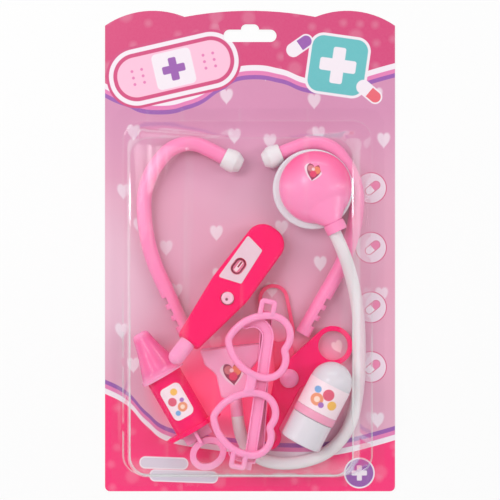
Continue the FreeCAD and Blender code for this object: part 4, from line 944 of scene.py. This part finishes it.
def dome_pink(colour):
    """Chest dome's plastic: painted shade towards its upper right edge, where thicker plastic also gives a
    deeper pink, and a faint line of painted shade in the crease where the collar starts.
    """
    paint = Print("chest_pink", Subsurface_Weight=0.12, Coat_Weight=0.18, Coat_Roughness=0.12, **DEPTH)
    cloud = paint.noise(38.0, 3.0)
    fine = paint.noise(1500.0)
    along, side = paint.local(*DOME_MIDDLE, DOME_NECK_TURN)
    # Painted shade towards the upper right edge, mixed with the deeper pink of the thicker plastic there
    edge = ((paint.disc(*DOME_MIDDLE, 8.0) + (cloud - 0.5) * 5.0) / 13.0).held()
    shaded_side = ((side * 0.6 - along * 0.8) / 12.0 + 0.25).held()
    paint.ink = paint.mix(cloud * 0.6, colour, shade(255, 150, 196))
    paint.over(edge * shaded_side * 0.85, shade(255, 74, 144))
    # Painted shade: a faint dark line in the crease where the collar starts
    paint.over((abs(along - COLLAR_START) - 0.25).inside(0.5) * 0.6, shade(222, 96, 160))
    paint.set(Base_Color=paint.ink, Roughness=0.3 + (fine - 0.5) * 0.14 + (cloud - 0.5) * 0.1)
    paint.bump(fine * 0.5 + cloud, 0.04, 0.0004)
    return paint.material


def heart_film(name, x, y, turn, width):
    """Heart sticker: a pale border round a plain picture of soft blooms, under a gloss coat."""
    film = Print(name, Coat_Weight=0.4, Coat_Roughness=0.08)
    fine = film.noise(1600.0)
    across, up = film.local(x, y, turn)
    heart = film.heart(across, up + width * 0.05, width * 0.39)
    film.ink = film.mix(fine * 0.2, shade(248, 214, 228), shade(240, 196, 214))
    film.fill(heart, shade(150, 40, 84))
    blooms = ((-0.16, 0.12, 0.17, shade(214, 120, 130)), (0.14, 0.08, 0.2, shade(236, 130, 96)),
              (0.0, -0.14, 0.17, shade(226, 60, 104)), (-0.04, 0.1, 0.08, shade(250, 206, 214)))
    for side, rise, radius, colour in blooms:
        bloom = film.circle(across - side * width, up - rise * width, radius * width)
        film.over(bloom.inside(0.5) * heart.inside(CRISP_EDGE), colour)
    return film.coated(fine, 0.25)


def picture_film(name, x, y, turn, long, wide):
    """Cut-out sticker or label: pale film with a few plain coloured spots."""
    film = Print(name, Coat_Weight=0.35, Coat_Roughness=0.1)
    fine = film.noise(1700.0)
    cloud = film.noise(160.0)
    film.ink = film.mix(cloud * 0.6, shade(250, 236, 240), shade(246, 208, 222))
    across, up = film.local(x, y, turn)
    spots = ((-0.28, 0.1, 0.16, shade(246, 190, 90)), (-0.05, -0.18, 0.2, shade(226, 92, 120)),
             (0.2, 0.12, 0.22, shade(236, 150, 110)), (0.3, -0.2, 0.12, shade(120, 170, 220)),
             (0.02, 0.24, 0.1, shade(170, 110, 190)), (0.2, 0.12, 0.1, shade(252, 220, 200)))
    for forward, side, radius, colour in spots:
        film.fill(film.circle(across - forward * long, up - side * wide, radius * wide), colour, 0.5)
    return film.coated(fine, 0.28)


class PACK_OT_glasses(bpy.types.Operator):
    """Play glasses frame and its loose temples"""
    bl_idname = "toy_pack.glasses"
    bl_label = "Glasses"

    def execute(self, context):
        pale = moulded("glasses_pink", settings().pale_pink, shade(254, 142, 192), 0.28, 0.18)
        self.heart_frame(pale)
        softened("temple_left", pale, 0.35)
        softened("temple_right", pale, 0.35)
        return {"FINISHED"}

    def rim_reach(self, angle, grow):
        """Distance of a rim's outline from its middle: two lobe discs, and what two flank discs share."""
        across = np.cos(angle)
        up = np.sin(angle)

        def reach(x, y, radius):
            along = x * across + y * up
            return along + np.sqrt(along ** 2 - x * x - y * y + (radius + grow) ** 2)

        lobes = np.maximum(reach(6.5, 7.0, 13.6), reach(6.5, -7.0, 13.6))
        flanks = np.minimum(reach(6.91, -7.39, 28.0), reach(6.91, 7.39, 28.0))
        outline = np.where(flanks * across < 6.5, np.maximum(flanks, lobes), lobes)
        weights = np.exp(-np.linspace(-2.0, 2.0, 15) ** 2)
        weights /= weights.sum()
        wrapped = np.concatenate((outline[-7:], outline, outline[:7]))
        return np.convolve(wrapped, weights, "valid")

    def placed(self, x, y):
        """Points of the frame's own plane carried to its place."""
        across, up = spun(np.asarray(x, float), np.asarray(y, float), GLASSES_TURN)
        level = np.full_like(across, GLASSES_MIDDLE_Z)
        return np.stack((GLASSES[0] + across, GLASSES[1] + up, level), axis=-1)

    def heart_frame(self, material):
        """Two heart rims of rounded section, a waisted bridge and a slotted tab at each end."""
        angle = np.linspace(0.0, 2 * np.pi, 240, endpoint=False)
        reach = self.rim_reach(angle, -RIM_HALF_WIDE)
        tab = ((-2.2, 41.4), (-2.2, 49.4), (5.2, 49.4), (5.2, 41.4))
        grids = []
        for side in (-1, 1):
            rim = self.placed(reach * np.cos(angle), side * LENS_OFFSET + reach * np.sin(angle))
            grids.append(swept(rim, RIM_HALF_WIDE, RIM_HALF_HIGH, True, 2.4))
            path = rounded_path([(x, side * y) for x, y in tab], 1.2)
            grids.append(swept(self.placed(path[:, 0], path[:, 1]), 1.55, 2.05, False, 3.2))
        share = np.linspace(-1.0, 1.0, 25)
        bridge = self.placed(np.zeros(25), share * 5.5)
        grids.append(swept(bridge, 3.1 + 1.6 * share ** 4, 1.95, False, 2.8))
        skinned("glasses_frame", grids, material)


class PACK_OT_thermometer(bpy.types.Operator):
    """Thermometer shells, tip, label, scale and button"""
    bl_idname = "toy_pack.thermometer"
    bl_label = "Thermometer"

    def execute(self, context):
        chosen = settings()
        hot = moulded("thermometer_pink", chosen.hot_pink, shade(250, 14, 104), 0.3, 0.14, 0.22)
        pale = moulded("thermometer_tip_pink", chosen.pale_pink, shade(254, 150, 196), 0.28, 0.2)
        softened("thermometer_front", hot, 0.3)
        softened("thermometer_back", hot, 0.3)
        softened("thermometer_tip", pale, 0.2)
        softened("thermometer_button", button_film(), 0.25)
        softened("thermometer_label", label_film())
        softened("thermometer_scale", window_film())
        return {"FINISHED"}


def window_film():
    """Thermometer's window: rose film with a dark ring of painted shade along its recessed edge, and a
    short column.
    """
    film = Print("thermometer_window_film", Coat_Weight=0.5, Coat_Roughness=0.06)
    fine = film.noise(1600.0)
    film.ink = film.mix(fine * 0.4, shade(226, 110, 146), shade(240, 150, 178))
    outline = film.bar(*WINDOW, 5.2, 3.5, 3.4, WINDOW_TURN)
    # Painted shade: a dark ring along the window's recessed edge
    film.fill(abs(outline + 0.7) - 0.45, shade(130, 24, 62))
    film.fill(film.bar(*WINDOW, 3.4, 1.1, 0.5, WINDOW_TURN), shade(250, 222, 230))
    film.fill(film.bar(-6.0, -8.0, 2.0, 0.5, 0.2, WINDOW_TURN), shade(150, 30, 70))
    return film.coated(fine, 0.22)


def button_film():
    """Pale button with a small dark dot in its middle."""
    low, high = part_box("thermometer_button")
    film = Print("thermometer_button_pink", Coat_Weight=0.3, Coat_Roughness=0.1)
    fine = film.noise(1500.0)
    film.ink = film.mix(fine * 0.5, shade(248, 196, 214), shade(244, 178, 202))
    dot = film.disc((low[0] + high[0]) / 2 / MM, (low[1] + high[1]) / 2 / MM, 0.8)
    film.fill(dot, shade(140, 60, 84), 0.5)
    return film.coated(fine, 0.3)


def label_film():
    """Thermometer's pale label film with a faint mottled print and a gloss coat."""
    film = Print("thermometer_label_film", Coat_Weight=0.35, Coat_Roughness=0.1)
    cloud = film.noise(120.0, 3.0)
    fine = film.noise(1800.0)
    film.ink = film.mix(cloud * 0.8, shade(236, 208, 218), shade(228, 190, 204))
    return film.coated(fine, 0.3)


class PACK_OT_syringe(bpy.types.Operator):
    """Syringe nozzle, barrel, piston, plunger and sticker"""
    bl_idname = "toy_pack.syringe"
    bl_label = "Syringe"

    def execute(self, context):
        chosen = settings()
        hot = moulded("barrel_pink", chosen.hot_pink, shade(250, 20, 112), 0.26, 0.2, 0.22)
        pale = moulded("plunger_pink", chosen.pale_pink, shade(254, 146, 194), 0.28, 0.2)
        rubber = moulded("piston_rubber", chosen.soft_white, shade(214, 208, 212), 0.5, 0.05)
        self.nozzle()
        softened("syringe_barrel", hot, 0.4)
        softened("syringe_piston", rubber, 0.2)
        softened("syringe_plunger", pale, 0.5)
        softened("syringe_sticker", picture_film("syringe_sticker_film", *SYRINGE_STICKER))
        return {"FINISHED"}

    def nozzle(self):
        """Hollow nozzle: a profile with a round end, a bell flank and a lip, turned about the axis."""
        profile = [(1.6, 2.6), (1.6, 0.2)] + arc(2.4, 3.2, 3.0, 3.1, -95, 0, 12)
        profile += [(6.0, 6.0), (7.1, 10.5), (8.7, 15.5), (10.3, 20.0), (11.6, 24.0), (12.5, 26.6)]
        profile += arc(13.2, 27.5, 0.4, 0.4, -90, 0, 6) + arc(13.2, 29.1, 0.4, 0.4, 0, 90, 6)
        profile += [(10.95, 29.5), (10.95, 23.35), (8.35, 23.35), (4.3, 2.6), (1.6, 2.6)]
        skinned("syringe_nozzle", [turned(profile, SYRINGE_NOSE, heading(SYRINGE_TURN), 120)], thin_pink())


def thin_pink():
    """Thin pink plastic of the nozzle: deeper where the walls lie close, pale at the lip and the end."""
    paint = Print("nozzle_pink", Subsurface_Weight=0.35, Coat_Weight=0.25, Coat_Roughness=0.08, **DEPTH)
    cloud = paint.noise(60.0, 3.0)
    fine = paint.noise(1500.0)
    along, _ = paint.local(*SYRINGE_NOSE[:2], SYRINGE_TURN)
    pale = ((along - 24.0) / 5.0).higher((5.0 - along) / 6.0).higher(0.0)
    deep = paint.mix(cloud * 0.8, shade(255, 96, 160), shade(255, 122, 178))
    paint.set(Base_Color=paint.mix(pale * 0.8, deep, shade(255, 172, 210)), Roughness=0.2 + fine * 0.1)
    paint.bump(fine * 0.5 + cloud, 0.04, 0.0004)
    return paint.material


class PACK_OT_forceps(bpy.types.Operator):
    """Forceps halves and rivet"""
    bl_idname = "toy_pack.forceps"
    bl_label = "Forceps"

    def execute(self, context):
        chosen = settings()
        hot = moulded("forceps_pink", chosen.hot_pink, shade(252, 22, 124), 0.28, 0.22, 0.25)
        clear_pink = moulded("forceps_thin_pink", shade(248, 70, 124), shade(244, 96, 140), 0.28, 0.35)
        pale = moulded("rivet_pink", chosen.pale_pink, shade(252, 120, 176), 0.25, 0.15)
        softened("forceps_half_a", hot, 0.5)
        softened("forceps_half_b", clear_pink, 0.5)
        softened("forceps_rivet", pale, 0.2)
        return {"FINISHED"}


class PACK_OT_bottle(bpy.types.Operator):
    """Bottle, band, cap and label"""
    bl_idname = "toy_pack.bottle"
    bl_label = "Bottle"

    def execute(self, context):
        white = moulded("bottle_white", settings().white, shade(228, 225, 230), 0.26, 0.08)
        band = moulded("band_pink", shade(250, 170, 196), shade(246, 150, 184), 0.25, 0.3)
        self.lathe("bottle_body", self.body_profile(), white)
        hoop = [(11.95, 16.85), (12.5, 16.85)] + arc(12.5, 17.25, 0.4, 0.4, -90, 0, 6)
        hoop += arc(12.5, 21.35, 0.4, 0.4, 0, 90, 6) + [(11.95, 21.75), (11.95, 16.85)]
        self.lathe("bottle_band", hoop, band)
        shell = [(0.0, 0.12), (9.5, 0.06)] + arc(11.2, 1.3, 1.3, 1.3, -90, 0, 10) + [(12.5, 16.0)]
        shell += arc(12.1, 16.1, 0.4, 0.4, 0, 90, 6) + [(9.35, 16.5), (9.35, 1.6), (0.0, 1.6)]
        self.lathe("bottle_cap", shell, white)
        softened("bottle_label", picture_film("bottle_label_film", *BOTTLE_LABEL))
        return {"FINISHED"}

    def body_profile(self):
        """Outside from the neck up to the crown of the dome, then the inside back down to the mouth."""
        outside = [(9.0, 7.6), (9.0, 16.55), (11.4, 16.55)] + arc(11.4, 16.75, 0.5, 0.2, -90, 0, 5)
        outside += [(11.9, 21.8), (12.1, 21.8)] + arc(12.1, 22.2, 0.4, 0.4, -90, 0, 6)
        outside += arc(0.0, 40.0, 12.5, 12.5, 0, 90, 30)
        inside = arc(0.0, 38.8, 10.1, 12.5, 90, 0, 24) + [(10.1, 19.0), (7.8, 18.9), (7.8, 7.9)]
        inside += arc(8.4, 7.9, 0.6, 0.4, 180, 360, 9)
        return outside + inside

    def lathe(self, node, profile, material):
        """Piece turned about the bottle's axis."""
        skinned(node, [turned(profile, BOTTLE_FOOT, heading(BOTTLE_TURN), 120)], material)


class PACK_PT_panel(bpy.types.Panel):
    """Lists the steps and the settings"""
    bl_idname = "PACK_PT_panel"
    bl_label = "Toy pack"
    bl_space_type = "VIEW_3D"
    bl_region_type = "UI"
    bl_category = "Toy pack"

    def draw(self, context):
        layout = self.layout
        for step in STEPS:
            layout.operator(step.bl_idname)
        for key in PackSettings.__annotations__:
            layout.prop(context.scene.toy_pack, key)


STEPS = (PACK_OT_stage, PACK_OT_stethoscope, PACK_OT_card, PACK_OT_blister, PACK_OT_glasses,
         PACK_OT_thermometer, PACK_OT_syringe, PACK_OT_forceps, PACK_OT_bottle)
CLASSES = (PackSettings,) + STEPS + (PACK_PT_panel,)


def register():
    """Adds the classes and the scene's settings."""
    for kind in CLASSES:
        bpy.utils.register_class(kind)
    bpy.types.Scene.toy_pack = bpy.props.PointerProperty(type=PackSettings)


def unregister():
    """Takes them out again."""
    del bpy.types.Scene.toy_pack
    for kind in reversed(CLASSES):
        bpy.utils.unregister_class(kind)


def main():
    """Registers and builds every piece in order."""
    register()
    for step in STEPS:
        group, name = step.bl_idname.split(".")
        getattr(getattr(bpy.ops, group), name)()


if __name__ == "__main__":
    main()
